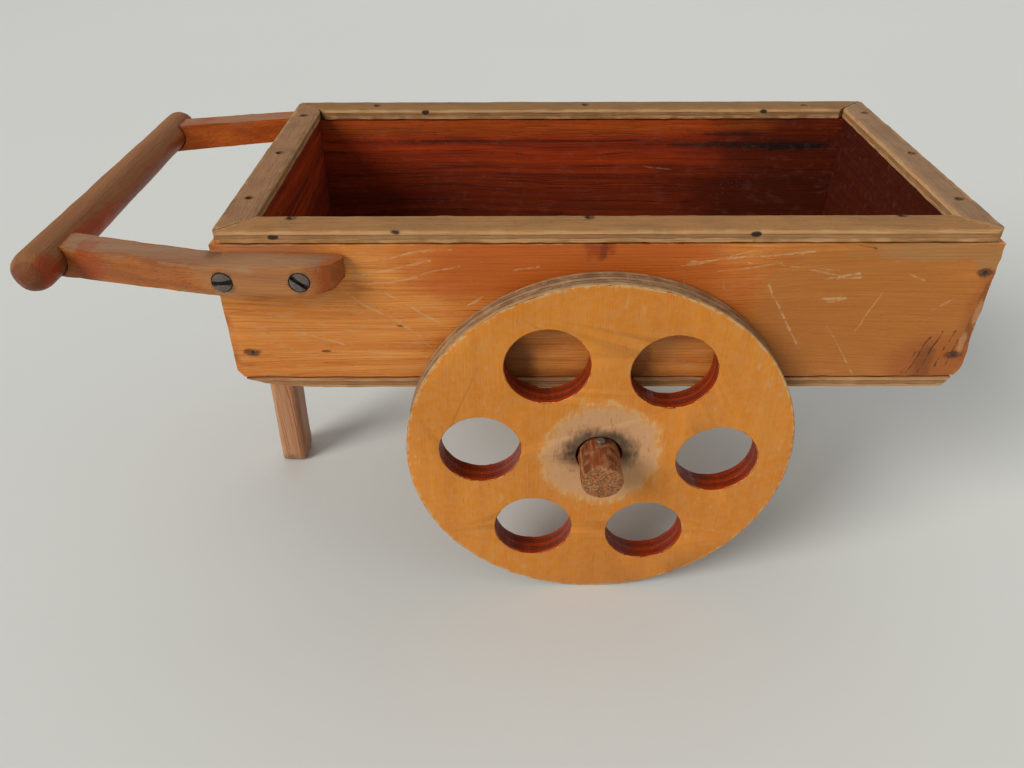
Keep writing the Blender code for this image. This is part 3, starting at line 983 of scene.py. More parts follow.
# %% Rim strips
RIM_CORNER_R = 0.0016
WORN_CORNER_R = 0.0026
MITRE_GAP = 0.00012
UPPER_ARRIS_R = 0.0010
STRIP_TAN = {
    "rim_strip_near": (0.405, 0.190, 0.056),
    "rim_strip_far": (0.305, 0.152, 0.045),
    "rim_strip_handle": (0.345, 0.170, 0.074),
    "rim_strip_front": (0.345, 0.195, 0.096),
}
RIM_NAILS = {
    "rim_strip_near": [(-61.4, -50.1), (22.2, -50.0), (110.0, -49.4)],
    "rim_strip_far": [(-51.1, 53.7), (28.6, 54.0), (111.7, 52.9)],
    "rim_strip_handle": [(-76.6, 41.9), (-76.7, 2.3), (-76.8, -35.8)],
    "rim_strip_front": [(131.5, 43.2), (132.0, 0.6), (131.1, -37.7)],
}
# Small voids in the ply edges, not cut but painted near black, as shade.
EDGE_VOIDS = {
    "rim_strip_near": [(-64.6, -59.0, 129.7), (-31.2, -58.9, 131.2), (66.9, -59.0, 130.3)],
    "rim_strip_far": [(-32.2, 48.2, 130.6), (95.4, 48.2, 130.6)],
    "rim_strip_handle": [],
    "rim_strip_front": [],
}


def rim_template():
    """A block with the rim's rounded outline, a little taller than the strips."""
    low = (HANDLE_END, -SIDE_Y, RIM_TOP - 0.006)
    piece = block("rim_template", low, (FRONT_END, SIDE_Y, RIM_TOP + 0.002))
    alone(piece)
    bpy.ops.object.mode_set(mode="EDIT")

    def upright(edge, worn):
        middle = (edge.verts[0].co + edge.verts[1].co) / 2
        return runs_along(edge, 2) and (middle.x > 0 and middle.y < 0) == worn

    for worn, radius in ((True, WORN_CORNER_R), (False, RIM_CORNER_R)):
        pick(piece, "edges", lambda edge: upright(edge, worn))
        bpy.ops.mesh.bevel(offset=radius, offset_type="OFFSET", segments=8, affect="EDGES")
    bpy.ops.object.mode_set(mode="OBJECT")
    return piece


def mitres(node):
    """The two 45 degree saw cuts of a strip: (point, outward direction)."""
    corners = [Vector((x, y, 0.0)) for x in (HANDLE_END, FRONT_END) for y in (-SIDE_Y, SIDE_Y)]
    low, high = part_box(node)
    middle = (Vector(low) + Vector(high)) / 2
    corners = sorted(corners, key=lambda corner: (corner - middle).xy.length)[:2]
    cuts = []
    for corner in corners:
        inwards = Vector((1.0 if corner.x < 0 else -1.0, 1.0 if corner.y < 0 else -1.0, 0.0))
        outwards = Vector((-inwards.x, inwards.y, 0.0))
        if outwards.dot(middle - corner) > 0:
            outwards = -outwards
        cuts.append((corner - outwards.normalized() * MITRE_GAP, outwards))
    return cuts


def craters(piece, places, radius, depth, axis="Z"):
    """Cuts a small pit into a surface at each place on it."""
    tools = []
    for place in places:
        surface = place["XYZ".index(axis)]
        tools.append(rod("pit", radius, surface - depth, surface + depth, place, axis, sides=14))
    cut_away(piece, join(tools))


def round_upper_arrises(piece, along):
    """Rounds the two long arrises on top more than the others, as hands have."""
    def is_upper(edge):
        return runs_along(edge, along) and min(vertex.co.z for vertex in edge.verts) > RIM_TOP - 0.0001

    alone(piece)
    bpy.ops.object.mode_set(mode="EDIT")
    pick(piece, "edges", is_upper)
    bpy.ops.mesh.bevel(offset=UPPER_ARRIS_R, offset_type="OFFSET", segments=4, affect="EDGES")
    bpy.ops.object.mode_set(mode="OBJECT")


for number, node in enumerate(RIM_NAILS):
    low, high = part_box(node)
    along = 0 if high[0] - low[0] > high[1] - low[1] else 1
    piece = block(node + "_wood", low, high)
    round_upper_arrises(piece, along)
    divide(piece, along, 0.0020)
    divide(piece, 1 - along, 0.0028)
    cut_away(piece, rim_template(), "INTERSECT")
    for point, outwards in mitres(node):
        saw(piece, point, outwards)
    round_arrises(piece, 0.00035)
    craters(piece, [(x * MM, y * MM, RIM_TOP) for x, y in RIM_NAILS[node]], 0.0010, 0.0007)
    dent(piece, 0.00035, 0.005, 2.2, "rounded")
    dent(piece, 0.00012, 0.012, 1.2)
    for vertex in piece.data.vertices:
        vertex.co.z = min(vertex.co.z, RIM_TOP)
    paint_flat(piece, 2)
    spots = [((x, y, RIM_TOP / MM), 1.9, (1.0, 1.0, 1.0), NAIL_STAIN, 0.75) for x, y in RIM_NAILS[node]]
    # Painted shade in the ply edges' small voids.
    spots += [(place, 1.1, (0.6, 1.0, 1.2), NEARLY_BLACK, 0.95) for place in EDGE_VOIDS[node]]
    shift = (number * 2.3, number * 1.1, 0.4)
    turn = (ALONG_X, ALONG_Y)[along]
    finish = bare_plywood(node + "_ply", turn, low[2], high[2] - low[2], STRIP_TAN[node], spots, shift)
    dress(piece, [node], [finish])

# %% [markdown]
# ## The bottom
#
# One sheet of the same thin plywood closes the box from below. It is flush with the boards, and the saw
# cuts of the corners run through it too.

# %% Bottom sheet
BOTTOM_TAN = (0.46, 0.235, 0.085)
bottom_low, bottom_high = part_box("bottom_board")
bottom = board("bottom_board", (0, 1))
wear(bottom, 0.0006, 0.0006)
dent(bottom, 0.00015, 0.02, 1.0)
paint_flat(bottom, 2)
bottom_spots = [
    ((40.0, 10.0, 79.2), 22.0, (0.6, 1.0, 1.0), TAN_DIRT, 0.5),
    ((-40.0, -20.0, 79.2), 18.0, (1.0, 0.7, 1.0), TAN_DIRT, 0.4),
]
bottom_ply = bare_plywood(
    "bottom_ply", ALONG_X, bottom_low[2], bottom_high[2] - bottom_low[2],
    BOTTOM_TAN, bottom_spots, (4.0, 4.0, 4.0), 0.8,
)
dress(bottom, ["bottom_board"], [bottom_ply])

# %% [markdown]
# ## The wheels
#
# A wheel is a disc of plywood with six drilled holes and a bore. A cylinder is the start: the drills are
# cylinders too, joined and cut away in one go. The varnished face is yellower than the box, with its
# grain running up and down as the wheel stands. Round the bore the wheel has rubbed a pale ring bare,
# with black grime from the axle inside it, and the arris is chipped down to pale wood.

# %% The wheel's finishes
FACE_YELLOW = (0.66, 0.235, 0.024)
FACE_AMBER = (0.57, 0.182, 0.016)
PORE_BROWN = (0.30, 0.11, 0.025)
RING_BARE = (0.56, 0.300, 0.142)
RING_BORDER = (0.66, 0.37, 0.120)
GRIME = (0.060, 0.038, 0.026)
CHIPPED = (0.56, 0.37, 0.17)
HOLE_RED = (0.32, 0.031, 0.003)


def hub_radius(recipe, here):
    """A point's place from the axle's middle, and how far it is from the axle's axis."""
    off = recipe.vector("SUBTRACT", here, (AXLE_X, 0.0, AXLE_Z))
    flat = recipe.vector("MULTIPLY", off, (1.0, 0.0, 1.0))
    return off, recipe.vector("LENGTH", flat)


def wheel_face(name, shift):
    material, r, here = start_finish(name)
    off, radius = hub_radius(r, here)
    grain = grain_of(r, here, ALONG_Z, 0.8, shift)
    cloudy = r.fade(r.noise(here, (18, 18, 26), 3.0, shift), 0.35, 0.68)
    colour = r.mix(grain["Bands"], FACE_YELLOW, FACE_AMBER, 0.6)
    colour = r.mix(cloudy, colour, FACE_AMBER, 0.5)
    colour = r.mix(grain["Fibres"], colour, PORE_BROWN, 0.10)
    colour = r.mix(grain["Pores"], colour, PORE_BROWN, 0.4)
    light_flecks = r.fade(r.noise(here, (520, 520, 170), 3.0, shift), 0.62, 0.74)
    colour = r.mix(light_flecks, colour, CHIPPED, 0.35)

    ragged = r.noise(here, 210, 4.0, shift)
    uneven = r.noise(here, 45, 2.0, shift)
    ring_edge = r.plus(radius, r.times(r.minus(ragged, 0.5), 0.0050))
    ring_edge = r.plus(ring_edge, r.times(r.minus(uneven, 0.5), 0.0070))
    bare = r.fade(ring_edge, 0.0211, 0.0190)
    border = r.fade(ring_edge, 0.0166, 0.0194)
    torn = r.fade(r.noise(here, (700, 700, 300), 3.0, shift), 0.42, 0.56)
    ring = r.mix(border, RING_BARE, RING_BORDER, 0.6)
    ring = r.mix(grain["Pores"], ring, PORE_BROWN, 0.5)
    bare = r.times(bare, r.minus(1.0, r.times(r.times(border, torn), 0.7)))
    colour = r.mix(bare, colour, ring, 0.95)
    beside = r.sum("ABSOLUTE", r.part(off, 0))
    above = r.fade(r.part(off, 2), -0.0085, 0.0)
    streaks = r.minus(r.noise(here, (900, 900, 250), 3.0, shift), 0.5)
    dirt_edge = r.plus(radius, r.times(r.plus(streaks, r.minus(ragged, 0.5)), 0.0045))
    dirt_edge = r.minus(dirt_edge, r.times(beside, 0.22))
    dirt = r.times(r.fade(dirt_edge, 0.0115, 0.0070), above)
    flecks = r.fade(r.noise(here, (900, 900, 500), 2.0), 0.56, 0.70)
    dirt = r.larger(dirt, r.times(r.times(flecks, r.fade(radius, 0.016, 0.010)), 0.55))
    colour = r.mix(dirt, colour, GRIME, 0.9)

    nick = r.fade(r.noise(here, 420, 3.0, shift), 0.42, 0.56)
    rim_edge = r.times(r.fade(radius, WHEEL_R - 0.0013, WHEEL_R - 0.0005), nick)
    chipped = r.larger(rim_edge, r.times(attribute(r, "arris"), r.times(nick, 0.35)))
    scuffs = r.place(scuff_group, Vector=here, Amount=0.7)["Mask"]
    pale = r.larger(chipped, scuffs)
    colour = r.mix(pale, colour, CHIPPED, 0.8)

    roughness = r.plus(0.36, r.times(r.larger(bare, pale), 0.40))
    relief = r.minus(r.times(grain["Fibres"], 0.3), r.times(pale, 0.5))
    relief = r.minus(relief, r.times(bare, 0.4))
    end_finish(material, r, colour, roughness, relief, 0.00010)
    return material


def wheel_edge(name, inner, colours, gloss, shift):
    """The plies round the tyre or in the holes. inner is where the disc's inner face is, across the cart."""
    pale, dark, seam = colours
    material, r, here = start_finish(name)
    depth = r.sum("ABSOLUTE", r.minus(r.part(here, 1), inner))
    plies = r.place(ply_group, Vector=here, Height=depth, Ply=0.0016)
    grain = grain_of(r, here, ALONG_Y, 1.0, shift)
    dirt = r.fade(r.noise(here, 140, 4.0, shift), 0.40, 0.66)
    colour = r.mix(plies["Dark ply"], pale, dark, 0.65)
    colour = r.mix(dirt, colour, dark, 0.30)
    colour = r.mix(grain["Fibres"], colour, pale, 0.05)
    colour = r.mix(plies["Glue"], colour, seam, 0.95)
    worn = r.times(attribute(r, "arris"), r.fade(r.noise(here, 330, 3.0), 0.42, 0.58))
    colour = r.mix(worn, colour, CHIPPED if gloss > 0.5 else pale, 0.55)
    relief = r.minus(r.times(grain["Fibres"], 0.3), r.times(plies["Dark ply"], 0.8))
    relief = r.minus(relief, r.times(plies["Glue"], 0.8))
    roughness = r.plus(gloss, r.times(dirt, 0.2))
    end_finish(material, r, colour, roughness, relief, 0.00016)
    return material


TYRE_COLOURS = ((0.350, 0.205, 0.100), (0.170, 0.088, 0.046), (0.045, 0.023, 0.014))
HOLE_COLOURS = (HOLE_RED, (0.085, 0.018, 0.007), NEARLY_BLACK)
print("wheel finishes ready")

# %% Wheel discs
HOLE_COUNT = 6
HOLE_R = 0.0126
HOLE_CIRCLE_R = 0.0370
BORE_R = 0.0071
WHEEL_TURN = math.radians(-3.1)
DRILL_PAST = 0.01


def wheel_disc(node):
    low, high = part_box(node)
    middle = Vector((AXLE_X, 0.0, AXLE_Z))
    disc = rod(node + "_disc", WHEEL_R, low[1], high[1], middle, sides=224)
    ends = (low[1] - DRILL_PAST, high[1] + DRILL_PAST)
    bore = rod("bore", BORE_R, *ends, middle, sides=64)
    drills = [bore]
    for number in range(HOLE_COUNT):
        angle = WHEEL_TURN + 2 * math.pi * number / HOLE_COUNT
        centre = middle + HOLE_CIRCLE_R * Vector((math.cos(angle), 0.0, math.sin(angle)))
        drills.append(rod("drill", HOLE_R, *ends, centre, sides=96))
    cut_away(disc, join(drills))
    wear(disc, 0.00030, 0.00022, size=0.004, contrast=2.6)
    return disc


def split_wheel_faces(disc):
    """Gives the tyre the second finish and the insides of the holes the third."""
    axle = Vector((AXLE_X, 0.0, AXLE_Z))
    for face in disc.data.polygons:
        if abs(face.normal.y) > 0.72:
            continue
        away = Vector(face.center) - axle
        away.y = 0.0
        face.material_index = 1 if away.length > WHEEL_R - 0.002 else 2


near_disc = wheel_disc("wheel_near")
far_disc = copy_of(near_disc, "wheel_far_disc")
set_down(far_disc, (0.0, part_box("wheel_far")[0][1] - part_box("wheel_near")[0][1], 0.0))
WHEELS = [(near_disc, "wheel_near", "near_wheel"), (far_disc, "wheel_far", "far_wheel")]
for number, (disc, node, body) in enumerate(WHEELS):
    low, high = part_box(node)
    inner = low[1] if abs(low[1]) < abs(high[1]) else high[1]
    shift = (number * 3.7, number * 5.1, number * 1.9)
    finishes = [
        wheel_face(node + "_face", shift),
        wheel_edge(node + "_tyre", inner, TYRE_COLOURS, 0.70, shift),
        wheel_edge(node + "_holes", inner, HOLE_COLOURS, 0.26, shift),
    ]
    dress(disc, [node], finishes, body)
    split_wheel_faces(disc)

# %% [markdown]
# ## The axle
#
# The axle is a dowel that someone shaved by hand to fit, so outside the wheels it has flat facets. Its
# red-brown varnish is rubbed off along their arrises, and its ends show bare end grain. A sixteen-sided
# cylinder gives the facets. A nail through each end keeps the wheel on.

# %% Dowel
DOWEL_RED = (0.270, 0.058, 0.016)
DOWEL_DARK = (0.120, 0.026, 0.010)
DOWEL_RUBBED = (0.50, 0.235, 0.095)
END_PALE = (0.50, 0.190, 0.066)
END_DARK = (0.12, 0.040, 0.015)


def dowel_finish():
    material, r, here = start_finish("dowel")
    grain = grain_of(r, here, ALONG_Y, 1.3)
    off, radius = hub_radius(r, here)
    colour = r.mix(grain["Bands"], DOWEL_RED, DOWEL_DARK)
    stripe = r.fade(r.noise(here, (520, 12, 520), 2.0), 0.50, 0.64)
    colour = r.mix(stripe, colour, DOWEL_RUBBED, 0.65)
    colour = r.mix(grain["Fibres"], colour, DOWEL_RUBBED, 0.2)
    speckle = r.fade(r.noise(here, (1900, 300, 1900), 3.0), 0.48, 0.60)
    blotch = r.fade(r.noise(here, 380, 3.0), 0.40, 0.62)
    end = r.mix(blotch, END_PALE, DOWEL_RUBBED)
    end = r.mix(speckle, end, END_DARK, 0.7)
    colour = r.mix(attribute(r, "end_grain"), colour, end)
    worn = r.times(attribute(r, "arris"), r.fade(r.noise(here, 330, 3.0), 0.45, 0.60))
    colour = r.mix(worn, colour, DOWEL_RUBBED, 0.5)
    relief = r.minus(grain["Fibres"], r.times(speckle, attribute(r, "end_grain")))
    roughness = r.plus(0.45, r.times(attribute(r, "end_grain"), 0.35))
    end_finish(material, r, colour, roughness, relief, 0.00022)
    return material


axle_low, axle_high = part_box("axle")
AXLE_R = (axle_high[2] - axle_low[2]) / 2
dowel = rod("axle_dowel", AXLE_R, axle_low[1], axle_high[1], (AXLE_X, 0.0, AXLE_Z), sides=16)
divide(dowel, 1, 0.0024)
wear(dowel, 0.0008, 0.0004, size=0.004)
dent(dowel, 0.00015, 0.008, 1.6)
paint_end_grain(dowel, 1)
dress(dowel, ["axle"], [dowel_finish()])

# %% [markdown]
# ## Nails, pins and screws
#
# Old steel is dark and dull, with brown rust and a few bright rubs. One finish serves all the fasteners.
# A nail head is modelled once as a thin domed disc and copied to each place. The screws that hold the
# shafts have a slot, which is a thin block cut out of a domed head, and the inside of the slot is painted
# near black, as shade.

# %% Old steel
RUST = (0.075, 0.042, 0.032)
STEEL_GRIME = (0.05, 0.045, 0.04)


def old_steel(name, bright):
    material, r, here = start_finish(name)
    rust = r.fade(r.noise(here, 700, 4.0), 0.44, 0.70)
    fine = r.noise(here, 2600, 2.0)
    colour = r.mix(rust, (bright, 0.80 * bright, 0.66 * bright), RUST, 0.8)
    colour = r.mix(fine, colour, STEEL_GRIME, 0.4)
    # Painted shade: the inside of a screw's slot is painted near black.
    colour = r.mix(attribute(r, "slot"), colour, NEARLY_BLACK)
    roughness = r.plus(0.34, r.times(rust, 0.4))
    shader = end_finish(material, r, colour, roughness, fine, 0.00008, 0.5)
    send(r, shader.inputs["Metallic"], r.minus(0.40, r.times(rust, 0.4)))
    return material


NAIL_STEEL = old_steel("nail_steel", 0.022)
PIN_STEEL = old_steel("pin_steel", 0.17)
SCREW_STEEL = old_steel("screw_steel", 0.16)
print("steel ready")

# %% Pins through the axle
PIN_SHANK_R = 0.0009
low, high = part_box("axle_pin_near")
middle = (Vector(low) + Vector(high)) / 2
shank = rod("axle_pin_near_nail", PIN_SHANK_R, low[2], high[2] - 0.0004, middle, "Z", sides=16)
head = rod("pin_head", (high[0] - low[0]) / 2, high[2] - 0.0008, high[2], middle, "Z", sides=24)
near_pin = join([shank, head])
wear(near_pin, 0.0003, 0.0002, size=0.0015)
far_pin = copy_of(near_pin, "axle_pin_far_nail")
set_down(far_pin, (0.0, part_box("axle_pin_far")[0][1] - low[1], 0.0))
dress(near_pin, ["axle_pin_near"], [PIN_STEEL])
dress(far_pin, ["axle_pin_far"], [PIN_STEEL])

# %% Nail heads
NAIL_R = 0.0009
FACING = {"up": (0.0, 0.0, 0.0), "near": (math.pi / 2, 0.0, 0.0), "far": (-math.pi / 2, 0.0, 0.0)}
RIM_NAIL_SIZE = 0.85
SIDE_NAIL_SIZE = 1.1
nail = rod("nail", NAIL_R, -0.0009, 0.0, (0.0, 0.0, 0.0), "Z", sides=20)
alone(nail)
bpy.ops.object.mode_set(mode="EDIT")
pick(nail, "faces", lambda face: face.normal.z > 0.9)
bpy.ops.mesh.inset(thickness=NAIL_R * 0.45)
bpy.ops.transform.translate(value=(0.0, 0.0, NAIL_R * 0.12))
bpy.ops.object.mode_set(mode="OBJECT")
wear(nail, 0.00015, 0.00008, size=0.0012, segments=2)

nails = []
for node, places in RIM_NAILS.items():
    nails += [((x * MM, y * MM, RIM_TOP - 0.00055), "up", RIM_NAIL_SIZE) for x, y in places]
NEAR_NAILS = [(-76.9, 92.3), (132.9, 118.3), (132.4, 91.0)]
FAR_NAILS = [(-76.0, 92.0), (-76.0, 118.0), (132.5, 118.0), (132.5, 91.0)]
nails += [((x * MM, -SIDE_Y + 0.00015, z * MM), "near", SIDE_NAIL_SIZE) for x, z in NEAR_NAILS]
nails += [((x * MM, SIDE_Y - 0.00015, z * MM), "far", SIDE_NAIL_SIZE) for x, z in FAR_NAILS]
for number, (place, facing, size) in enumerate(nails):
    head = set_down(copy_of(nail, f"nail_{number}"), place, FACING[facing], size)
    dress(head, [], [NAIL_STEEL])
bpy.data.meshes.remove(nail.data)

# %% [markdown]
# ## Shafts, handle bar, leg and axle blocks
#
# These are the pieces that hands hold and that rub on the floor. Their varnish has gone brown, grey on
# top where it is dusty and worn, and amber on the sides. All four kinds share a recipe with their own
# colours.

# %% The handled wood recipe
def handled_wood(name, turn, colours, spots, shift, top_from=0.3):
    """colours are the varnished one, its darker bands, the worn top and the bare arris."""
    varnish, bands, top_colour, bare = colours
    material, r, here = start_finish(name)
    grain = grain_of(r, here, turn, 1.1, shift)
    patches = r.noise(here, 75, 4.0, shift)
    colour = r.mix(grain["Bands"], varnish, bands)
    colour = r.mix(grain["Lines"], colour, LATE_WOOD, 0.5)
    top = r.fade(r.plus(attribute(r, "upward"), r.minus(patches, 0.5)), top_from, top_from + 0.35)
    greyed = r.mix(grain["Bands"], top_colour, bands, 0.5)
    colour = r.mix(top, colour, greyed, 0.9)
    colour = r.mix(grain["Pores"], colour, TAN_DIRT, 0.6)
    worn = r.fade(r.plus(r.times(attribute(r, "arris"), 0.30), patches), 0.70, 0.86)
    colour = r.mix(worn, colour, bare, 0.7)
    colour = r.mix(grain["Fibres"], colour, bands, 0.20)
    colour = darken_spots(r, here, colour, spots)
    end = r.fade(attribute(r, "end_grain"), 0.3, 0.9)
    colour = r.mix(end, colour, bands, 0.6)
    roughness = r.plus(0.42, r.times(r.larger(top, worn), 0.26))
    relief = r.minus(r.times(grain["Fibres"], 0.6), r.times(grain["Lines"], 0.5))
    end_finish(material, r, colour, roughness, relief, 0.00015)
    return material


def paint_handled(piece, axis):
    """Marks what faces up, and the end grain."""
    paint(piece, "upward", np.clip(vertex_normals(piece)[:, 2], 0.0, 1.0))
    paint_end_grain(piece, axis)


SHAFT_AMBER = (0.420, 0.135, 0.020)
FAR_SHAFT_AMBER = (0.560, 0.130, 0.008)
FAR_SHAFT_RED = (0.340, 0.062, 0.004)
SHAFT_BROWN = (0.290, 0.080, 0.014)
TOP_GREY = (0.305, 0.186, 0.108)
SHAFT_BARE = (0.50, 0.28, 0.130)
NOSE_RED = (0.31, 0.038, 0.005)
NOSE_BROWN = (0.40, 0.072, 0.006)
print("handled wood ready")

# %% [markdown]
# ### The shafts
#
# A shaft is straight along the box and swings in towards the bar. A straight block is cut across every
# two millimetres, and each slice is then moved by as much as the shaft has swung there. The nose is
# rounded by drawing its last slices in. The far shaft is a mirrored copy. Both then get a notch for the
# bar, and recesses that the screw heads sit in.

# %% Shafts
SHAFT_SLOPE = math.tan(math.radians(14.7))
BEND_START = 0.0090
BEND_LENGTH = 0.0140
NOSE_LENGTH = 0.0095
BAR_FAR_SHARE = 0.92
BAR_DOME = 0.0058
bar_low, bar_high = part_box("handle_bar")
BAR_X = (bar_low[0] + bar_high[0]) / 2
BAR_Z = (bar_low[2] + bar_high[2]) / 2


def swing(x):
    past = HANDLE_END + BEND_START - x
    if past <= 0:
        return 0.0
    if past < BEND_LENGTH:
        return SHAFT_SLOPE * past**2 / (2 * BEND_LENGTH)
    return SHAFT_SLOPE * (past - BEND_LENGTH / 2)


def bar_rod(name, room=0.0):
    """The bar before it is worn: a rod that is thinner at the far end, with domed ends."""
    rod_low, rod_high = bar_low[1], bar_high[1]
    thickest = (bar_high[2] - bar_low[2]) / 2
    piece = rod(name, thickest, rod_low, rod_high, (BAR_X, 0.0, BAR_Z), sides=40)
    divide(piece, 1, 0.0013)
    for vertex in piece.data.vertices:
        x, y, z = vertex.co
        thick = 1.0 + (BAR_FAR_SHARE - 1.0) * (y - rod_low) / (rod_high - rod_low)
        end = max(0.0, 1.0 - min(y - rod_low, rod_high - y) / BAR_DOME)
        thick = thick * math.sqrt(1.0 - 0.92 * end**2) + room / thickest
        vertex.co = (BAR_X + (x - BAR_X) * thick, y, BAR_Z + (z - BAR_Z) * thick)
    return piece


def shaft_batten():
    """The near shaft before its notch is cut: straight along the box, then swung in towards the bar."""
    low, high = (Vector(corner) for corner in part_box("shaft_near"))
    inner, outer = -SIDE_Y - 0.0003, low.y
    middle_z = (low.z + high.z) / 2
    height = high.z - low.z
    piece = block("shaft_near_batten", (BAR_X + 0.001, outer, low.z), (high.x, inner, high.z))
    for axis, spacing in ((0, 0.0018), (1, 0.0031), (2, 0.0030)):
        divide(piece, axis, spacing)
    for vertex in piece.data.vertices:
        x, y, z = vertex.co
        thinner = 0.90 if x > HANDLE_END else 0.90 + 0.10 * swing(x) / swing(BAR_X)
        z = middle_z + (z - middle_z) * thinner
        y += swing(x)
        nose = max(0.0, (x - (high.x - NOSE_LENGTH)) / NOSE_LENGTH)
        round_off = 1.0 - math.sqrt(max(0.0, 1.0 - nose**2))
        y = inner + (y - inner) * (1.0 - 0.72 * round_off)
        z += round_off * height * (0.20 if z < middle_z else -0.08)
        vertex.co = (x, y, z)
    return piece


def mirrored(piece, name):
    """A copy on the other side of the cart, with its faces outwards again."""
    twin = copy_of(piece, name)
    alone(twin)
    twin.scale.y = -1.0
    bpy.ops.object.transform_apply(location=True, rotation=True, scale=True)
    bpy.ops.object.mode_set(mode="EDIT")
    bpy.ops.mesh.select_all(action="SELECT")
    bpy.ops.mesh.normals_make_consistent(inside=False)
    bpy.ops.object.mode_set(mode="OBJECT")
    return twin


SCREW_R = 0.0027
SCREWS = [(-77.7, 120.8, -4.0), (-56.8, 120.8, 38.0)]
SHAFT_FACE = 0.0685
near_shaft = shaft_batten()
far_shaft = mirrored(near_shaft, "shaft_far_batten")
for shaft, node, way in ((near_shaft, "shaft_near", -1), (far_shaft, "shaft_far", 1)):
    cut_away(shaft, bar_rod("bar_room", 0.00005))
    wear(shaft, 0.0014, 0.0006, size=0.007, contrast=1.6, segments=4)
    recesses = [(x * MM, way * SHAFT_FACE, z * MM) for x, z, _ in SCREWS]
    craters(shaft, recesses, SCREW_R + 0.00025, 0.0014, "Y")
    dent(shaft, 0.00025, 0.012, 1.0)
    paint_handled(shaft, 0)
    face_y = way * 68.5
    spots = [
        ((-67.0, face_y, 121.5), 13.0, (0.7, 1.0, 1.3), SHAFT_BARE, 0.30),
        ((-77.7, face_y, 120.8), 3.8, (1.0, 1.0, 1.0), TAN_DIRT, 0.90),
        ((-56.8, face_y, 120.8), 3.8, (1.0, 1.0, 1.0), TAN_DIRT, 0.90),
        ((-47.0, face_y, 121.0), 6.5, (1.0, 0.4, 0.8), NOSE_BROWN, 0.70),
        ((-118.0, way * 58.0, 121.0), 6.0, (1.0, 0.6, 0.8), NOSE_RED, 0.6),
        ((HANDLE_END / MM, way * 60.0, 125.0), 3.0, (1.2, 0.7, 0.8), TAN_DIRT, 0.7),
    ]
    varnish, bands = (SHAFT_AMBER, SHAFT_BROWN) if way < 0 else (FAR_SHAFT_AMBER, FAR_SHAFT_RED)
    colours = (varnish, bands, TOP_GREY, SHAFT_BARE)
    finish = handled_wood(node + "_finish", ALONG_X, colours, spots, (way * 2.0, 1.0, 3.0), 0.45)
    dress(shaft, [node], [finish])

# %% Handle bar
bar = bar_rod("handle_bar_round")
wear(bar, 0.0014, 0.0005, size=0.006, contrast=1.4, segments=4)
dent(bar, 0.00035, 0.016, 1.2)
paint_handled(bar, 1)
BAR_BROWN = (0.250, 0.060, 0.014)
BAR_BANDS = (0.170, 0.044, 0.011)
BAR_GREY = (0.320, 0.145, 0.052)
bar_spots = [
    ((BAR_X / MM + 4.0, -38.0, BAR_Z / MM - 2.0), 7.0, (1.0, 0.28, 1.0), NOSE_RED, 0.75),
    ((BAR_X / MM + 4.5, bar_low[1] / MM + 4.0, BAR_Z / MM + 0.5), 5.0, (1.0, 1.0, 0.8), NOSE_RED, 0.75),
    ((BAR_X / MM + 4.0, -55.0, BAR_Z / MM - 3.0), 4.5, (0.7, 0.7, 0.9), TAN_DIRT, 0.6),
    ((BAR_X / MM + 4.0, 55.0, BAR_Z / MM - 1.0), 5.5, (0.7, 0.7, 0.9), NOSE_RED, 0.7),
]
bar_colours = (BAR_BROWN, BAR_BANDS, BAR_GREY, SHAFT_BARE)
bar_finish = handled_wood("handle_bar_finish", ALONG_Y, bar_colours, bar_spots, (1.0, 6.0, 2.0), 0.05)
dress(bar, ["handle_bar"], [bar_finish])

# %% Leg
leg_low, leg_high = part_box("leg")
LEG_SPLAY = 0.0026
leg = block("leg_batten", (leg_low[0] + LEG_SPLAY, leg_low[1], leg_low[2]), leg_high)
for axis in (0, 1, 2):
    divide(leg, axis, 0.0026)
for vertex in leg.data.vertices:
    vertex.co.x -= LEG_SPLAY * (1.0 - vertex.co.z / leg_high[2])
wear(leg, 0.0019, 0.0005, size=0.007, segments=4)
dent(leg, 0.00025, 0.012, 1.0)
paint_handled(leg, 2)
LEG_PINK = (0.52, 0.270, 0.138)
LEG_BROWN = (0.42, 0.190, 0.090)
leg_colours = (LEG_PINK, LEG_BROWN, TOP_GREY, SHAFT_BARE)
leg_spots = [((leg_low[0] / MM + 4, 6.0, 1.0), 5.0, (0.6, 0.5, 1.0), TAN_DIRT, 0.6)]
leg_finish = handled_wood("leg_finish", ALONG_Z, leg_colours, leg_spots, (7.0, 3.0, 1.0))
dress(leg, ["leg"], [leg_finish])

# %% Axle blocks
BLOCK_COLOURS = (SHAFT_BROWN, BAR_BANDS, TOP_GREY, SHAFT_BARE)
low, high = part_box("axle_block_near")
near_block = block("axle_block_near_wood", low, high)
for axis in (0, 1, 2):
    divide(near_block, axis, 0.0030)
bore_ends = (low[1] - DRILL_PAST, high[1] + DRILL_PAST)
cut_away(near_block, rod("block_bore", AXLE_R + 0.0003, *bore_ends, (AXLE_X, 0.0, AXLE_Z), sides=48))
wear(near_block, 0.0010, 0.0005)
far_block = copy_of(near_block, "axle_block_far_wood")
set_down(far_block, (0.0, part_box("axle_block_far")[0][1] - low[1], 0.0))
for number, (piece, node) in enumerate(((near_block, "axle_block_near"), (far_block, "axle_block_far"))):
    paint_handled(piece, 0)
    finish = handled_wood(node + "_finish", ALONG_X, BLOCK_COLOURS, [], (number * 3.0, 2.0, 5.0), 0.9)
    dress(piece, [node], [finish])

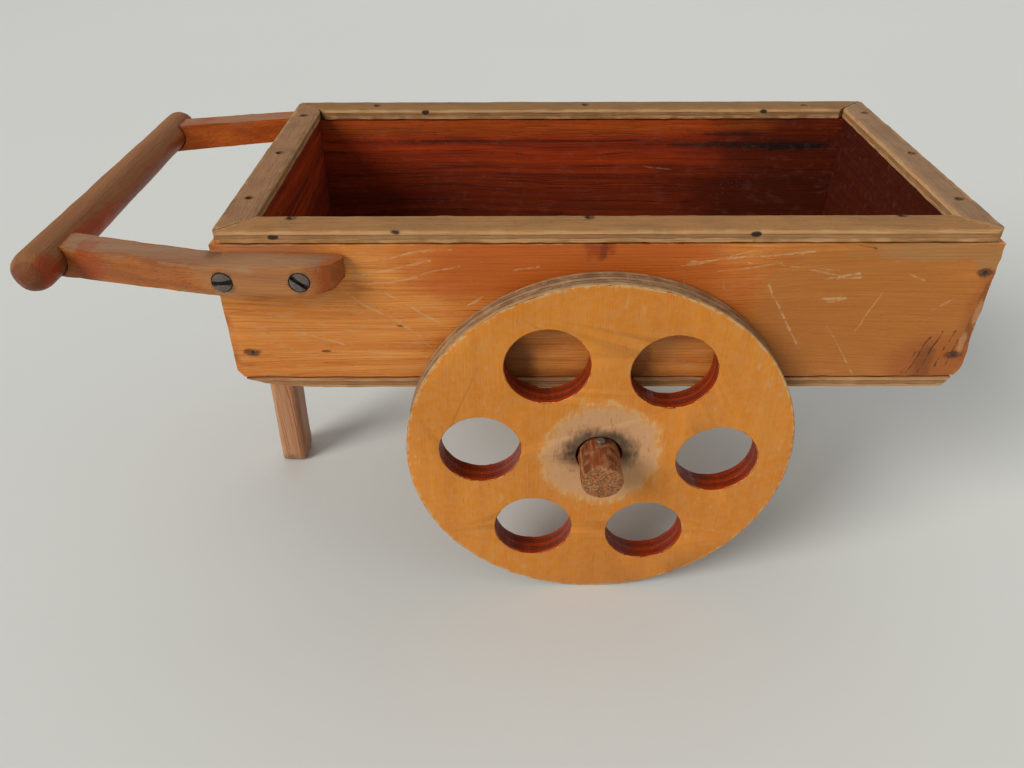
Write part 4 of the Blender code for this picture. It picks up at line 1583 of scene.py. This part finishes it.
# %% Slotted screws
SLOT_HALF_WIDTH = 0.00055
SLOT_DEPTH = 0.0009
SCREW_SINK = 0.0003
SCREW_SHANK = 0.0012
SCREW_RIM = 0.0002
SCREW_INSET = 0.0009
SCREW_LIFTS = (0.00022, 0.00012)
screw = rod("screw", SCREW_R, -SCREW_SHANK, SCREW_RIM, (0.0, 0.0, 0.0), "Z", sides=36)
alone(screw)
bpy.ops.object.mode_set(mode="EDIT")
for lift in SCREW_LIFTS:
    pick(screw, "faces", lambda face: face.normal.z > 0.98 and face.calc_area() > 3e-6)
    bpy.ops.mesh.inset(thickness=SCREW_INSET)
    bpy.ops.transform.translate(value=(0.0, 0.0, lift))
bpy.ops.object.mode_set(mode="OBJECT")
screw_top = SCREW_RIM + sum(SCREW_LIFTS)
slot_low = (-SCREW_R - 0.001, -SLOT_HALF_WIDTH, screw_top - SLOT_DEPTH)
cut_away(screw, block("slot", slot_low, (SCREW_R + 0.001, SLOT_HALF_WIDTH, 0.002)))
wear(screw, 0.00012, 0.00008, size=0.0015, segments=2)
# Marks the inside of the slot, which the steel finish paints near black as shade.
in_slot = [
    abs(vertex.co.y) < SLOT_HALF_WIDTH + 0.0001 and vertex.co.z < screw_top - 0.0001
    for vertex in screw.data.vertices
]
paint(screw, "slot", in_slot)
for facing, way in (("near", -1), ("far", 1)):
    for number, (x, z, angle) in enumerate(SCREWS):
        turn = (FACING[facing][0], math.radians(angle), 0.0)
        place = (x * MM, way * (SHAFT_FACE - SCREW_SINK), z * MM)
        head = set_down(copy_of(screw, f"screw_{facing}_{number}"), place, turn)
        dress(head, [], [SCREW_STEEL])
bpy.data.meshes.remove(screw.data)

# %% [markdown]
# ## The floor
#
# One large pale sheet carries the cart. Unlike the cart's pieces, it is attached to no body.

# %% Floor
FLOOR_SIZE = 8.0
FLOOR_GREY = (0.65, 0.655, 0.610)
FLOOR_PALE = (0.69, 0.70, 0.665)
alone()
bpy.ops.mesh.primitive_plane_add(size=FLOOR_SIZE, location=(0.0, 0.0, 0.0))
floor = named("floor")
floor_finish, r, here = start_finish("pale_floor")
tone = r.noise(here, (1.4, 1.4, 1.4), 2.0)
speck = r.noise(here, 900, 2.0)
end_finish(
    floor_finish, r, r.mix(tone, FLOOR_GREY, FLOOR_PALE),
    r.plus(0.5, r.times(speck, 0.1)), speck, 0.00002,
)
floor.data.materials.append(floor_finish)
print("floor laid")
